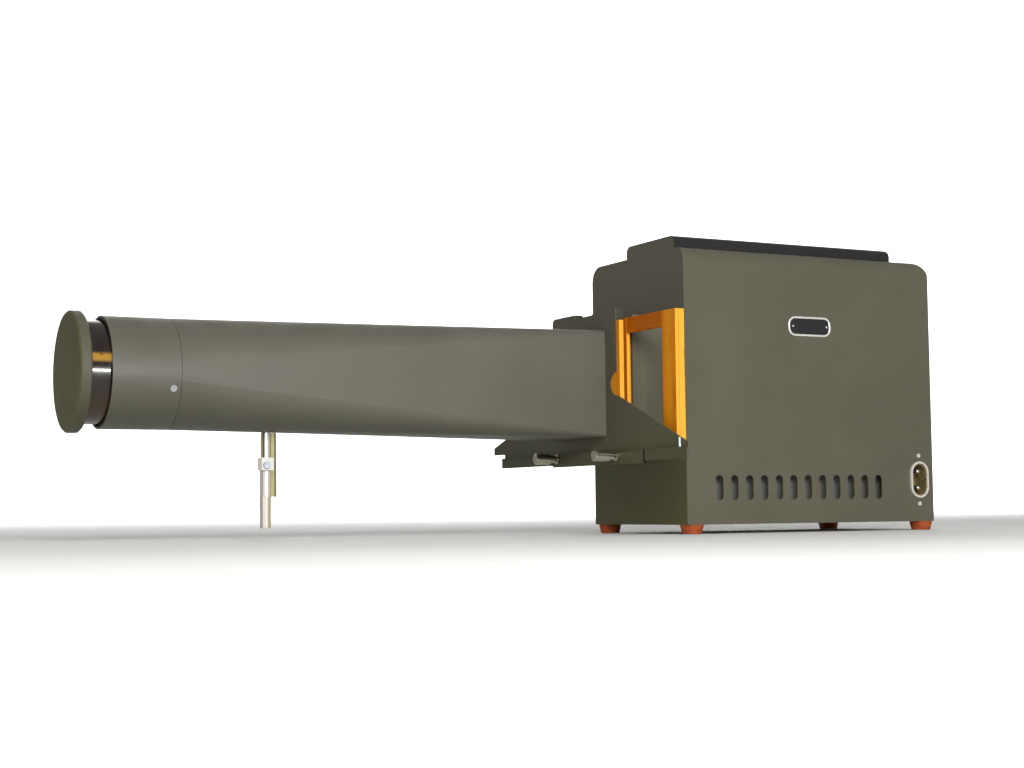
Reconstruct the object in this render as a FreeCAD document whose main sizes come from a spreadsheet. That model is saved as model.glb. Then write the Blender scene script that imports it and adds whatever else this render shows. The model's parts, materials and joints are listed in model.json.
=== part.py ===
"""Large-format lantern-slide projector: a ventilated lamp house on four rubber feet, a slide stage with a
wooden two-window slide changer, and a long tube that carries the projection lens on an adjustable leg.

Frame: +X runs from the lens to the lamp house, +Y across to the far side, +Z up.
The origin is the middle of the whole object's footprint, on the surface that the feet stand on.
Lengths are in millimetres.
"""

import FreeCAD, Part
import math
import os

import Sketcher

DIMENSIONS = {
    # lamp house
    "overall_length": 976,
    "house_length": 340,
    "house_depth": 195.5,
    "house_height": 300,
    "house_sheet": 1.5,
    "front_edge_radius": 14,
    "back_edge_radius": 18,
    "right_top_radius": 17,
    "right_side_radius": 5,
    "end_plate_thickness": 3,
    "base_thickness": 6,
    "foot_height": 10,
    "foot_top_radius": 12.7,
    "foot_bottom_radius": 10.8,
    "foot_edge": 1.2,
    "foot_end_inset": 12.7,
    "foot_side_inset": 11.5,
    # hood over the hot-air outlet
    "hood_length": 300,
    "hood_rise": 14.3,
    "hood_near_side": -80,
    "hood_far_side": 19.3,
    "hood_corner_radius": 7,
    "hood_sheet": 1.2,
    # cooling slots along the bottom of the near side
    "vent_count": 12,
    "vent_first": 41.7,
    "vent_pitch": 19.65,
    "vent_width": 10,
    "vent_tall": 27,
    "vent_middle": 39.5,
    # mains inlet
    "inlet_right_inset": 23.6,
    "inlet_up": 47.6,
    "inlet_width": 25.5,
    "inlet_tall": 41.5,
    "inlet_rim": 2.2,
    "inlet_proud": 2.5,
    "inlet_depth": 20,
    "inlet_well": 16,
    "insulator_wall": 1.6,
    "pin_spacing": 19,
    "pin_radius": 3,
    "inlet_screw_spacing": 55,
    # badge
    "badge_length": 58,
    "badge_tall": 22,
    "badge_thickness": 1.2,
    "badge_corner": 9.2,
    "badge_middle": 166,
    "badge_up": 218.5,
    # optics
    "axis_height": 164.4,
    "condenser_radius": 56.5,
    "condenser_wall": 3,
    "condenser_curve": 95,
    "condenser_ring_width": 3,
    "lamp_from_end_plate": 114,
    "bulb_radius": 17,
    "bulb_half_tall": 36,
    "lamp_cap_radius": 14,
    "lamp_cap_tall": 24,
    "holder_radius": 19,
    "holder_tall": 28,
    "pillar_radius": 8,
    "pillar_foot_radius": 22,
    "mirror_curve": 75,
    "mirror_radius": 45,
    # slide stage
    "plate_front": 76,
    "plate_thickness": 1.2,
    "stage_near_side": -75,
    "stage_far_side": 65,
    "stage_top": 243,
    "wing_half_span": 215.5,
    "wing_root_height": 149,
    "wing_near_inset": 4,
    "wing_tip_height": 93.8,
    "far_tip_height": 102,
    "lip_length": 28,
    "lip_underside": 93.5,
    "rail_bottom": 75,
    "rail_end_bottom": 77.2,
    "rail_top": 89,
    "rail_proud": 4,
    "rail_seam": 134.8,
    "seam_gap": 3.2,
    "rail_far_seam": 63,
    "front_pin_inset": 16.5,
    "front_pin_radius": 1.5,
    "front_pin_tall": 9,
    "end_stop_radius": 2.2,
    "end_stop_tall": 10.5,
    "channel_floor": 82,
    "channel_back": 96,
    "channel_depth": 25.8,
    "channel_wall": 4.5,
    "channel_half_length": 180,
    "channel_corner": 15,
    "notch_radius": 13,
    "notch_height": 161,
    "scallop_near": -22,
    "scallop_far": 12.5,
    "scallop_depth": 4,
    "scallop_radius": 9,
    "guide_thickness": 5.5,
    "guide_half_width": 80.4,
    "guide_top": 228.8,
    "stage_aperture_width": 80,
    "stage_aperture_tall": 94,
    "top_bar_thickness": 8.8,
    # slide changer
    "changer_front": 87,
    "changer_front_layer": 4,
    "changer_back_layer": 7,
    "changer_length": 235.3,
    "changer_bottom": 82.4,
    "changer_top": 231.5,
    "window_pitch": 114.3,
    "window_width": 70.2,
    "window_tall": 100.2,
    "slide_width": 90,
    "slide_tall": 104,
    # condenser housing between the stage and the lamp house
    "housing_half_width": 72,
    "housing_bottom": 92,
    "housing_top": 236,
    "housing_length": 45,
    "housing_flange": 4.5,
    "housing_wall": 2,
    "light_aperture_radius": 48,
    # clamp screws below the tube
    "clamp_near": -81,
    "clamp_far": 49,
    "clamp_height": 84,
    "clamp_radius": 6.2,
    "clamp_length": 29,
    "clamp_thread_radius": 3.04,
    # tube
    "tube_seam": -390.5,
    "tube_radius": 54.6,
    "tube_base_half_width": 52.2,
    "tube_base_bottom": 104,
    "tube_base_top": 220.2,
    "tube_base_corner": 4,
    "tube_wall": 2,
    "sleeve_length": 66.5,
    "sleeve_bore": 52.4,
    "sleeve_screw_inset": 8,
    # projection lens
    "barrel_radius": 50,
    "barrel_wall": 2.5,
    "barrel_front": -482,
    "barrel_length": 70,
    "lens_radius": 47.3,
    "lens_curve": 260,
    "cap_radius": 58.6,
    "cap_thickness": 11.4,
    "cap_bore": 50.4,
    "cap_face": 3.6,
    "cap_chamfer": 1.6,
    # support leg
    "leg_place": -289.2,
    "leg_rod_radius": 4.5,
    "leg_stem_radius": 5.7,
    "leg_tip_radius": 5.4,
    "leg_bottom": 12.6,
    "leg_collar": 44,
    "leg_clamp_bottom": 70.3,
    "leg_clamp_tall": 12.6,
    "leg_clamp_width": 12.8,
    "leg_rod_top": 107.4,
    "leg_bar_width": 6,
    "leg_bar_depth": 11,
    "leg_bar_flange": 4,
    "leg_bar_rebate": 2,
    "leg_screw_place": -291,
    "leg_screw_height": 75.2,
    "leg_screw_radius": 3.5,
    "leg_screw_head": 2.2,
    "running_clearance": 0.06,
    # transformer and internal wiring
    "core_from_right": 68,
    "core_place_across": 35,
    "core_half_length": 40,
    "core_half_depth": 25,
    "core_tall": 72,
    "core_limb": 12,
    "coil_half_length": 27.5,
    "coil_half_depth": 39,
    "lead_radius": 1.6,
}

DOCUMENT = FreeCAD.newDocument("projector")
SHEET = DOCUMENT.addObject("Spreadsheet::Sheet", "dims")
for row, (alias, size) in enumerate(DIMENSIONS.items(), start=1):
    SHEET.set(f"A{row}", alias)
    SHEET.set(f"B{row}", str(size))
    SHEET.setAlias(f"B{row}", alias)
DOCUMENT.recompute()

HOUSE_LEFT = "(dims.overall_length / 2 - dims.house_length)"
HOUSE_RIGHT = "dims.overall_length / 2"
HOUSE_BOTTOM = "dims.foot_height"
HOUSE_TOP = "(dims.foot_height + dims.house_height)"
HOUSE_SIDE = "dims.house_depth / 2"
SHELL_LEFT = f"({HOUSE_LEFT} + dims.end_plate_thickness)"
BASE_TOP = "(dims.foot_height + dims.base_thickness)"
INLET_X = f"({HOUSE_RIGHT} - dims.inlet_right_inset)"
INLET_Z = f"({HOUSE_BOTTOM} + dims.inlet_up)"
PLATE_BACK = "(dims.plate_front + dims.plate_thickness)"
HOUSING_FRONT = f"({HOUSE_LEFT} - dims.housing_length)"
SUBPARTS = []


# ---------------------------------------------------------------- helpers
def number(expression):
    """The value of an expression on the sheet."""
    return float(SHEET.evalExpression(str(expression)))


def bind(feature, **expressions):
    """Binds properties to the sheet; Base_x means Placement.Base.x."""
    for name, expression in expressions.items():
        path = "Placement.Base." + name[-1] if name.startswith("Base_") else name
        feature.setExpression(path, str(expression))
    return feature


def keep(feature, name):
    """Marks a feature as a finished sub-part under its own label."""
    feature.Label = name
    SUBPARTS.append(feature)
    return feature


def block(name, low, high):
    """A box between two corners given as expressions."""
    solid = DOCUMENT.addObject("Part::Box", name)
    bind(solid, Base_x=low[0], Base_y=low[1], Base_z=low[2])
    bind(solid, Length=f"{high[0]} - ({low[0]})")
    bind(solid, Width=f"{high[1]} - ({low[1]})")
    bind(solid, Height=f"{high[2]} - ({low[2]})")
    return solid


def rod(name, direction, radius, start, length, top_radius=None):
    """A cylinder, or a cone when it has a top radius, from start along +X, +Y, +Z or -Z."""
    kind = "Part::Cylinder" if top_radius is None else "Part::Cone"
    solid = DOCUMENT.addObject(kind, name)
    turn = {
        "X": FreeCAD.Rotation(FreeCAD.Vector(0, 1, 0), 90),
        "Y": FreeCAD.Rotation(FreeCAD.Vector(1, 0, 0), -90),
        "Z": FreeCAD.Rotation(),
        "-Z": FreeCAD.Rotation(FreeCAD.Vector(1, 0, 0), 180),
    }[direction]
    solid.Placement = FreeCAD.Placement(FreeCAD.Vector(), turn)
    bind(solid, Base_x=start[0], Base_y=start[1], Base_z=start[2], Height=length)
    if top_radius is None:
        return bind(solid, Radius=radius)
    return bind(solid, Radius1=radius, Radius2=top_radius)


def ball(name, radius, centre):
    solid = DOCUMENT.addObject("Part::Sphere", name)
    return bind(solid, Radius=radius, Base_x=centre[0], Base_y=centre[1], Base_z=centre[2])


def cut(name, base, tools):
    """Base with each tool taken away in turn."""
    for count, tool in enumerate(tools, start=1):
        solid = DOCUMENT.addObject("Part::Cut", f"{name}_cut{count}")
        solid.Base = base
        solid.Tool = tool
        base = solid
    return base


def join(name, solids):
    fused = DOCUMENT.addObject("Part::MultiFuse", name)
    fused.Shapes = solids
    return fused


def group(name, solids):
    """Separate solids that share one node, as a set of identical fasteners does."""
    bundle = DOCUMENT.addObject("Part::Compound", name)
    bundle.Links = solids
    return bundle


def common(name, solids):
    shared = DOCUMENT.addObject("Part::MultiCommon", name)
    shared.Shapes = solids
    return shared


def rounded(name, base, radius_of):
    """Rounds the edges for which radius_of(middle of the edge, bounds) gives a radius."""
    DOCUMENT.recompute()
    bounds = base.Shape.BoundBox
    edges = []
    for index, edge in enumerate(base.Shape.Edges, start=1):
        radius = radius_of(edge.CenterOfMass, bounds, edge)
        if radius:
            edges.append((index, radius, radius))
    fillet = DOCUMENT.addObject("Part::Fillet", name)
    fillet.Base = base
    fillet.Edges = edges
    return fillet


def new_sketch(body, name, plane, offset="0"):
    sketch = body.newObject("Sketcher::SketchObject", name)
    support = next(item for item in body.Origin.OriginFeatures if item.Role == plane)
    sketch.AttachmentSupport = [(support, "")]
    sketch.MapMode = "FlatFace"
    sketch.setExpression("AttachmentOffset.Base.z", str(offset))
    return sketch


def fix_point(sketch, geometry, point, across, up):
    """Places one point of the sketch by expressions measured from the sketch's origin."""
    for kind, expression in (("DistanceX", across), ("DistanceY", up)):
        constraint = Sketcher.Constraint(kind, -1, 1, geometry, point, number(expression))
        index = sketch.addConstraint(constraint)
        sketch.setExpression(f"Constraints[{index}]", str(expression))


def polygon(body, name, plane, corners, offset="0"):
    """A closed outline through corners, each a pair of expressions."""
    sketch = new_sketch(body, name, plane, offset)
    points = [FreeCAD.Vector(number(across), number(up), 0) for across, up in corners]
    for start, end in zip(points, points[1:] + points[:1]):
        sketch.addGeometry(Part.LineSegment(start, end))
    for line in range(len(points)):
        following = (line + 1) % len(points)
        sketch.addConstraint(Sketcher.Constraint("Coincident", line, 2, following, 1))
    for line, (across, up) in enumerate(corners):
        fix_point(sketch, line, 1, across, up)
    return sketch


def slot(body, name, plane, middle, width, tall, offset="0"):
    """An upright round-ended slot outline about a middle point."""
    sketch = new_sketch(body, name, plane, offset)
    reach = f"(({tall}) - ({width})) / 2"
    radius = number(width) / 2
    across = number(middle[0])
    high = FreeCAD.Vector(across, number(f"{middle[1]} + {reach}"), 0)
    low = FreeCAD.Vector(across, number(f"{middle[1]} - {reach}"), 0)
    side = FreeCAD.Vector(radius, 0, 0)
    normal = FreeCAD.Vector(0, 0, 1)
    sketch.addGeometry(Part.ArcOfCircle(Part.Circle(high, normal, radius), 0, math.pi))
    sketch.addGeometry(Part.LineSegment(high - side, low - side))
    sketch.addGeometry(Part.ArcOfCircle(Part.Circle(low, normal, radius), math.pi, 2 * math.pi))
    sketch.addGeometry(Part.LineSegment(low + side, high + side))
    for piece in range(4):
        sketch.addConstraint(Sketcher.Constraint("Tangent", piece, 2, (piece + 1) % 4, 1))
    fix_point(sketch, 0, 3, middle[0], f"{middle[1]} + {reach}")
    index = sketch.addConstraint(Sketcher.Constraint("DistanceY", 2, 3, 0, 3, 2 * number(reach)))
    sketch.setExpression(f"Constraints[{index}]", f"2 * {reach}")
    index = sketch.addConstraint(Sketcher.Constraint("Radius", 0, radius))
    sketch.setExpression(f"Constraints[{index}]", f"({width}) / 2")
    return sketch


def new_body(name):
    return DOCUMENT.addObject("PartDesign::Body", name)


def pad(body, sketch, length, reverse=False):
    feature = body.newObject("PartDesign::Pad", f"{sketch.Name}_pad")
    feature.Profile = sketch
    feature.Reversed = reverse
    bind(feature, Length=length)
    return feature


def extruded(name, plane, corners, start, length, reverse=False):
    """A body padded from a polygon on one of its origin planes."""
    body = new_body(name)
    pad(body, polygon(body, f"{name}_outline", plane, corners, start), length, reverse)
    return body


def turned(name, plane, axis, profile, place=("0", "0", "0")):
    """A body of revolution about an axis of its sketch, which is set down at a place."""
    body = new_body(name)
    sketch = polygon(body, f"{name}_profile", plane, profile)
    feature = body.newObject("PartDesign::Revolution", f"{name}_turn")
    feature.Profile = sketch
    feature.ReferenceAxis = (sketch, [axis])
    feature.Angle = 360
    bind(body, Base_x=place[0], Base_y=place[1], Base_z=place[2])
    return body


def on_axis(name, profile):
    """A body turned about the optical axis, from points given as (place along X, radius)."""
    return turned(name, "XZ_Plane", "H_Axis", profile, ("0", "0", "dims.axis_height"))


def ring_profile(front, back, inner, outer):
    return [(front, inner), (front, outer), (back, outer), (back, inner)]


def ring(name, front, back, inner, outer):
    return on_axis(name, ring_profile(front, back, inner, outer))


# ---------------------------------------------------------------- lamp house
def house_form(name, inset):
    """The lamp house's outer form drawn in by an inset, without its left end."""
    form = block(
        f"{name}_block",
        (SHELL_LEFT, f"-{HOUSE_SIDE} + {inset}", f"{HOUSE_BOTTOM} - {inset}"),
        (f"{HOUSE_RIGHT} - {inset}", f"{HOUSE_SIDE} - {inset}", f"{HOUSE_TOP} - {inset}"),
    )
    shrink = number(inset)
    front = number("dims.front_edge_radius") - shrink
    back = number("dims.back_edge_radius") - shrink
    right_top = number("dims.right_top_radius") - shrink
    right_side = number("dims.right_side_radius") - shrink

    def radius_of(middle, bounds, edge):
        at_right = abs(middle.x - bounds.XMax) < 0.01
        at_top = abs(middle.z - bounds.ZMax) < 0.01
        at_side = min(abs(middle.y - bounds.YMin), abs(middle.y - bounds.YMax)) < 0.01
        if at_right and at_top:
            return right_top
        if at_right and at_side:
            return right_side
        if at_top and at_side:
            return front if middle.y < 0 else back
        return None

    return rounded(name, form, radius_of)


def lamp_house_shell():
    """Pressed cover: cooling slots, inlet hole and badge holes in front, hot-air outlet in the top."""
    vents = new_body("vent_cutter")
    first = f"({HOUSE_LEFT} + dims.vent_first)"
    middle = f"({HOUSE_BOTTOM} + dims.vent_middle)"
    depth = f"{HOUSE_SIDE} - 6"
    outline = slot(vents, "vent", "XZ_Plane", (first, middle), "dims.vent_width", "dims.vent_tall", depth)
    one = pad(vents, outline, "12")
    row_of_vents = vents.newObject("PartDesign::LinearPattern", "vent_row")
    row_of_vents.Originals = [one]
    row_of_vents.Direction = (outline, ["H_Axis"])
    bind(row_of_vents, Length="dims.vent_pitch * (dims.vent_count - 1)", Occurrences="dims.vent_count")
    vents.Tip = row_of_vents

    inlet = new_body("inlet_cutter")
    width = "(dims.inlet_width - 2 * dims.inlet_rim + 0.4)"
    tall = "(dims.inlet_tall - 2 * dims.inlet_rim + 0.4)"
    hole = slot(inlet, "inlet_hole", "XZ_Plane", (INLET_X, INLET_Z), width, tall, depth)
    pad(inlet, hole, "12")

    outlet = block(
        "outlet_cutter",
        (f"{SHELL_LEFT} + 24", "dims.hood_near_side + 10", f"{HOUSE_TOP} - 5"),
        (f"{HOUSE_LEFT} + dims.hood_length - 20", "dims.hood_far_side - 9", f"{HOUSE_TOP} + 5"),
    )
    tools = [house_form("house_inner", "dims.house_sheet"), vents, inlet, outlet]
    tools += [
        rod(f"inlet_screw_hole{side}", "Y", "1.6", (INLET_X, f"-{HOUSE_SIDE} - 2", z), "6")
        for side, z in enumerate(inlet_screw_heights())
    ]
    tools += [
        rod(f"shell_screw_hole{place}", "Y", "1.6", (x, f"{HOUSE_SIDE} - 4", shell_screw_height()), "6")
        for place, x in enumerate(shell_screw_places())
    ]
    tools += [
        rod(f"badge_hole{place}", "Y", "1.1", (x, f"-{HOUSE_SIDE} - 2", badge_height()), "6")
        for place, x in enumerate(badge_pin_places())
    ]
    keep(cut("lamp_house_shell", house_form("house_outer", "0"), tools), "lamp_house_shell")


def inlet_screw_heights():
    return [f"{INLET_Z} - dims.inlet_screw_spacing / 2", f"{INLET_Z} + dims.inlet_screw_spacing / 2"]


def shell_screw_places():
    return [f"{HOUSE_LEFT} + dims.house_length * {share}" for share in (0.15, 0.5, 0.85)]


def shell_screw_height():
    return f"{HOUSE_BOTTOM} + dims.base_thickness / 2"


def badge_pin_places():
    middle = f"{HOUSE_LEFT} + dims.badge_middle"
    return [f"{middle} - dims.badge_length / 2 + 6", f"{middle} + dims.badge_length / 2 - 6"]


def badge_height():
    return f"({HOUSE_BOTTOM} + dims.badge_up)"


def foot_places():
    """Left and right, near and far."""
    near = f"-{HOUSE_SIDE} + dims.foot_side_inset"
    far = f"{HOUSE_SIDE} - dims.foot_side_inset"
    left = f"{HOUSE_LEFT} + dims.foot_end_inset"
    right = f"{HOUSE_RIGHT} - dims.foot_end_inset"
    return {
        "foot_left_near": (left, near),
        "foot_left_far": (left, far),
        "foot_right_near": (right, near),
        "foot_right_far": (right, far),
    }


def base_plate():
    """Cast floor of the lamp house with tapped holes for the feet and the cover screws."""
    clear = "(dims.house_sheet + 0.1)"
    plate = block(
        "base_block",
        (SHELL_LEFT, f"-{HOUSE_SIDE} + {clear}", HOUSE_BOTTOM),
        (f"{HOUSE_RIGHT} - {clear}", f"{HOUSE_SIDE} - {clear}", BASE_TOP),
    )
    corner = number("dims.right_side_radius - dims.house_sheet")

    def radius_of(middle, bounds, edge):
        upright = abs(edge.BoundBox.ZLength - bounds.ZLength) < 0.01
        return corner if upright and abs(middle.x - bounds.XMax) < 0.01 else None

    plate = rounded("base_rounded", plate, radius_of)
    tools = [
        rod(f"{name}_hole", "Z", "2.1", (x, y, "dims.foot_height - 1"), "dims.base_thickness + 2")
        for name, (x, y) in foot_places().items()
    ]
    tools += [
        rod(f"cover_hole{place}", "Y", "1.3", (x, f"{HOUSE_SIDE} - 14", shell_screw_height()), "14")
        for place, x in enumerate(shell_screw_places())
    ]
    keep(cut("base_plate", plate, tools), "base_plate")


def end_plate():
    """Flat left end with sharp upright edges and a tab that closes the end of the hood."""
    body = new_body("end_plate_body")
    lap = "(dims.hood_sheet + 0.1)"
    tab_near = f"dims.hood_near_side + {lap}"
    tab_far = f"dims.hood_far_side - {lap}"
    tab_top = f"{HOUSE_TOP} + dims.hood_rise - {lap}"
    corners = [
        (f"-{HOUSE_SIDE}", HOUSE_BOTTOM),
        (HOUSE_SIDE, HOUSE_BOTTOM),
        (HOUSE_SIDE, HOUSE_TOP),
        (tab_far, HOUSE_TOP),
        (tab_far, tab_top),
        (tab_near, tab_top),
        (tab_near, HOUSE_TOP),
        (f"-{HOUSE_SIDE}", HOUSE_TOP),
    ]
    outline = polygon(body, "end_plate_outline", "YZ_Plane", corners, HOUSE_LEFT)
    pad(body, outline, "dims.end_plate_thickness")
    front = number("dims.front_edge_radius")
    back = number("dims.back_edge_radius")
    tab = number(f"dims.hood_corner_radius - {lap}")

    def radius_of(middle, bounds, edge):
        if edge.BoundBox.XLength < 2 or middle.z < bounds.ZMin + 1:
            return None
        if abs(middle.z - bounds.ZMax) < 0.01:
            return tab
        if abs(middle.y - bounds.YMin) < 0.01:
            return front
        return back if abs(middle.y - bounds.YMax) < 0.01 else None

    plate = rounded("end_plate_rounded", body, radius_of)
    bore = rod(
        "end_plate_bore",
        "X",
        "dims.condenser_radius + dims.condenser_wall + 0.4",
        (f"{HOUSE_LEFT} - 2", "0", "dims.axis_height"),
        "8",
    )
    keep(cut("end_plate", plate, [bore]), "end_plate")


def vent_hood():
    """Black tray upside down over the hot-air outlet, with a row of slots in its far side."""

    def tray(name, inset, left):
        form = block(
            f"{name}_block",
            (left, f"dims.hood_near_side + {inset}", f"{HOUSE_TOP} - {inset}"),
            (
                f"{HOUSE_LEFT} + dims.hood_length - {inset}",
                f"dims.hood_far_side - {inset}",
                f"{HOUSE_TOP} + dims.hood_rise - {inset}",
            ),
        )
        radius = number(f"dims.hood_corner_radius - {inset}")

        def radius_of(middle, bounds, edge):
            at_right = abs(middle.x - bounds.XMax) < 0.01
            at_top = abs(middle.z - bounds.ZMax) < 0.01
            at_left = abs(middle.x - bounds.XMin) < 0.01
            at_bottom = abs(middle.z - bounds.ZMin) < 0.01
            return radius if (at_right or at_top) and not (at_left or at_bottom) else None

        return rounded(name, form, radius_of)

    slots = new_body("hood_slots")
    centre = (f"({HOUSE_LEFT} + 25)", f"({HOUSE_TOP} + 5.2)")
    outline = slot(slots, "hood_slot", "XZ_Plane", centre, "3.6", "6.2", "-dims.hood_far_side - 4")
    one = pad(slots, outline, "8")
    row_of_slots = slots.newObject("PartDesign::LinearPattern", "hood_slot_row")
    row_of_slots.Originals = [one]
    row_of_slots.Direction = (outline, ["H_Axis"])
    bind(row_of_slots, Length="dims.hood_length - 50", Occurrences="24")
    slots.Tip = row_of_slots
    outer = tray("hood_outer", "0", f"{HOUSE_LEFT} + 0.3")
    inner = tray("hood_inner", "dims.hood_sheet", f"{HOUSE_LEFT} - 1")
    keep(cut("vent_hood", outer, [inner, slots]), "vent_hood")


def light_traps():
    """Baffles that let air pass the outlet and the cooling slots but stop stray light."""
    low = f"({HOUSE_TOP} - 22)"
    tray = block(
        "trap_plate",
        (f"{SHELL_LEFT} + 10", "dims.hood_near_side + 4", low),
        (f"{HOUSE_LEFT} + dims.hood_length - 8", "dims.hood_far_side - 2", f"{low} + 1.2"),
    )
    posts = [
        rod(f"trap_post{index}", "Z", "2.5", (x, y, low), f"{HOUSE_TOP} - dims.house_sheet - {low}")
        for index, (x, y) in enumerate(
            (x, y)
            for x in (f"{SHELL_LEFT} + 16", f"{HOUSE_LEFT} + dims.hood_length - 14")
            for y in ("dims.hood_near_side + 7.4", "dims.hood_far_side - 5.4")
        )
    ]
    keep(join("outlet_baffle_fused", [tray] + posts), "outlet_baffle")
    wall = f"(-{HOUSE_SIDE} + 16)"
    corners = [
        (wall, BASE_TOP),
        (f"{wall} + 12", BASE_TOP),
        (f"{wall} + 12", f"{BASE_TOP} + 1.2"),
        (f"{wall} + 1.2", f"{BASE_TOP} + 1.2"),
        (f"{wall} + 1.2", f"{BASE_TOP} + 62"),
        (wall, f"{BASE_TOP} + 62"),
    ]
    length = "dims.vent_pitch * dims.vent_count + 14"
    keep(extruded("vent_baffle_body", "YZ_Plane", corners, f"{HOUSE_LEFT} + 26", length), "vent_baffle")


def feet():
    """Tapered rubber feet, each with a counterbored hole for its screw."""
    profile = [
        ("5.2", "0"),
        ("dims.foot_bottom_radius - dims.foot_edge", "0"),
        ("dims.foot_bottom_radius - 0.3 * dims.foot_edge", "0.3 * dims.foot_edge"),
        ("dims.foot_bottom_radius", "dims.foot_edge"),
        ("dims.foot_top_radius", "dims.foot_height - 1"),
        ("dims.foot_top_radius", "dims.foot_height"),
        ("2.2", "dims.foot_height"),
        ("2.2", "4.6"),
        ("5.2", "4.6"),
    ]
    for name, (x, y) in foot_places().items():
        keep(turned(f"{name}_body", "XZ_Plane", "V_Axis", profile, (x, y, "0")), name)
    screws = []
    for name, (x, y) in foot_places().items():
        head = rod(f"{name}_head", "Z", "4", (x, y, "2.2"), "2.4")
        shank = rod(f"{name}_shank", "Z", "2", (x, y, "4.6"), "dims.foot_height + dims.base_thickness - 5")
        slotted = block(
            f"{name}_driver_slot",
            (f"{x} - 5", f"{y} - 0.5", "2"),
            (f"{x} + 5", f"{y} + 0.5", "3.2"),
        )
        screws.append(cut(f"{name}_screw", join(f"{name}_screw_blank", [head, shank]), [slotted]))
    keep(group("foot_screw_group", screws), "foot_screws")


def side_screw(name, x, y, z, outward, head_radius, head_tall, shank_radius, shank_length):
    """A slotted screw along Y; outward is -1 when its head faces the near side."""
    head_start = y if outward > 0 else f"{y} - {head_tall}"
    shank_start = f"{y} - {shank_length}" if outward > 0 else y
    head = rod(f"{name}_head", "Y", head_radius, (x, head_start, z), head_tall)
    shank = rod(f"{name}_shank", "Y", shank_radius, (x, shank_start, z), shank_length)
    face = f"{y} + {head_tall}" if outward > 0 else f"{y} - {head_tall}"
    driver = block(
        f"{name}_driver",
        (f"{x} - {head_radius} - 1", f"{face} - 0.5", f"{z} - 0.3"),
        (f"{x} + {head_radius} + 1", f"{face} + 0.5", f"{z} + 0.3"),
    )
    return cut(name, join(f"{name}_blank", [head, shank]), [driver])


def cover_screws():
    screws = [
        side_screw(f"cover_screw{place}", x, HOUSE_SIDE, shell_screw_height(), 1, "3", "1.4", "1.25", "11")
        for place, x in enumerate(shell_screw_places())
    ]
    keep(group("cover_screw_group", screws), "cover_screws")


def badge():
    """Plain badge on two pins, with no lettering."""
    x = f"{HOUSE_LEFT} + dims.badge_middle"
    z = badge_height()
    half_length = "dims.badge_length / 2"
    half_tall = "dims.badge_tall / 2"
    plate = block(
        "badge_block",
        (f"{x} - {half_length}", f"-{HOUSE_SIDE} - dims.badge_thickness", f"{z} - {half_tall}"),
        (f"{x} + {half_length}", f"-{HOUSE_SIDE}", f"{z} + {half_tall}"),
    )
    corner = number("dims.badge_corner")

    def radius_of(middle, bounds, edge):
        return corner if abs(edge.BoundBox.YLength - bounds.YLength) < 0.01 else None

    pins = [
        rod(f"badge_pin{place}", "Y", "1", (at, f"-{HOUSE_SIDE} - dims.badge_thickness - 0.5", z), "5")
        for place, at in enumerate(badge_pin_places())
    ]
    keep(join("badge_fused", [rounded("badge_plate", plate, radius_of)] + pins), "badge")


def mains_inlet():
    """Oval appliance inlet: metal rim, moulded insulator with a deep recess, two pins and two screws."""
    rim = new_body("inlet_rim_body")
    middle = (INLET_X, INLET_Z)
    ring_outline = slot(
        rim, "rim", "XZ_Plane", middle, "dims.inlet_width", "dims.inlet_tall", HOUSE_SIDE
    )
    pad(rim, ring_outline, "dims.inlet_proud")
    hollow = new_body("inlet_rim_hollow")
    inner_width = "(dims.inlet_width - 2 * dims.inlet_rim)"
    inner_tall = "(dims.inlet_tall - 2 * dims.inlet_rim)"
    hole = slot(hollow, "rim_hole", "XZ_Plane", middle, inner_width, inner_tall, f"{HOUSE_SIDE} - 1")
    pad(hollow, hole, "dims.inlet_proud + 2")
    keep(cut("inlet_rim_cut", rim, [hollow]), "inlet_rim")

    insulator = new_body("inlet_insulator_body")
    start = f"{HOUSE_SIDE} - dims.inlet_depth"
    width = f"{inner_width} - 0.1"
    tall = f"{inner_tall} - 0.1"
    outer = slot(insulator, "insulator", "XZ_Plane", middle, width, tall, start)
    pad(insulator, outer, "dims.inlet_depth + 1.5")
    recess = new_body("inlet_recess")
    width = f"({inner_width} - 2 * dims.insulator_wall)"
    tall = f"({inner_tall} - 2 * dims.insulator_wall)"
    well = slot(recess, "recess", "XZ_Plane", middle, width, tall, f"{HOUSE_SIDE} - dims.inlet_well")
    pad(recess, well, "dims.inlet_well + 4")
    pin_heights = [f"{INLET_Z} - dims.pin_spacing / 2", f"{INLET_Z} + dims.pin_spacing / 2"]
    bores = [
        rod(f"pin_bore{side}", "Y", "dims.pin_radius + 0.04", (INLET_X, f"-{HOUSE_SIDE} + 12", z), "12")
        for side, z in enumerate(pin_heights)
    ]
    keep(cut("inlet_insulator_cut", insulator, [recess] + bores), "inlet_insulator")
    pins = []
    for side, z in enumerate(pin_heights):
        shaft = rod(f"pin_shaft{side}", "Y", "dims.pin_radius", (INLET_X, f"-{HOUSE_SIDE} + 2.5", z), "21")
        tip = ball(f"pin_tip{side}", "dims.pin_radius", (INLET_X, f"-{HOUSE_SIDE} + 2.5", z))
        pins.append(join(f"pin{side}", [shaft, tip]))
    keep(group("inlet_pin_group", pins), "inlet_pins")
    screws = [
        side_screw(f"inlet_screw{side}", INLET_X, f"-{HOUSE_SIDE}", z, -1, "2.3", "1.2", "1.5", "7")
        for side, z in enumerate(inlet_screw_heights())
    ]
    keep(group("inlet_screw_group", screws), "inlet_screws")


# ---------------------------------------------------------------- lamp and condenser
LAMP_X = f"({HOUSE_LEFT} + dims.lamp_from_end_plate)"


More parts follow.
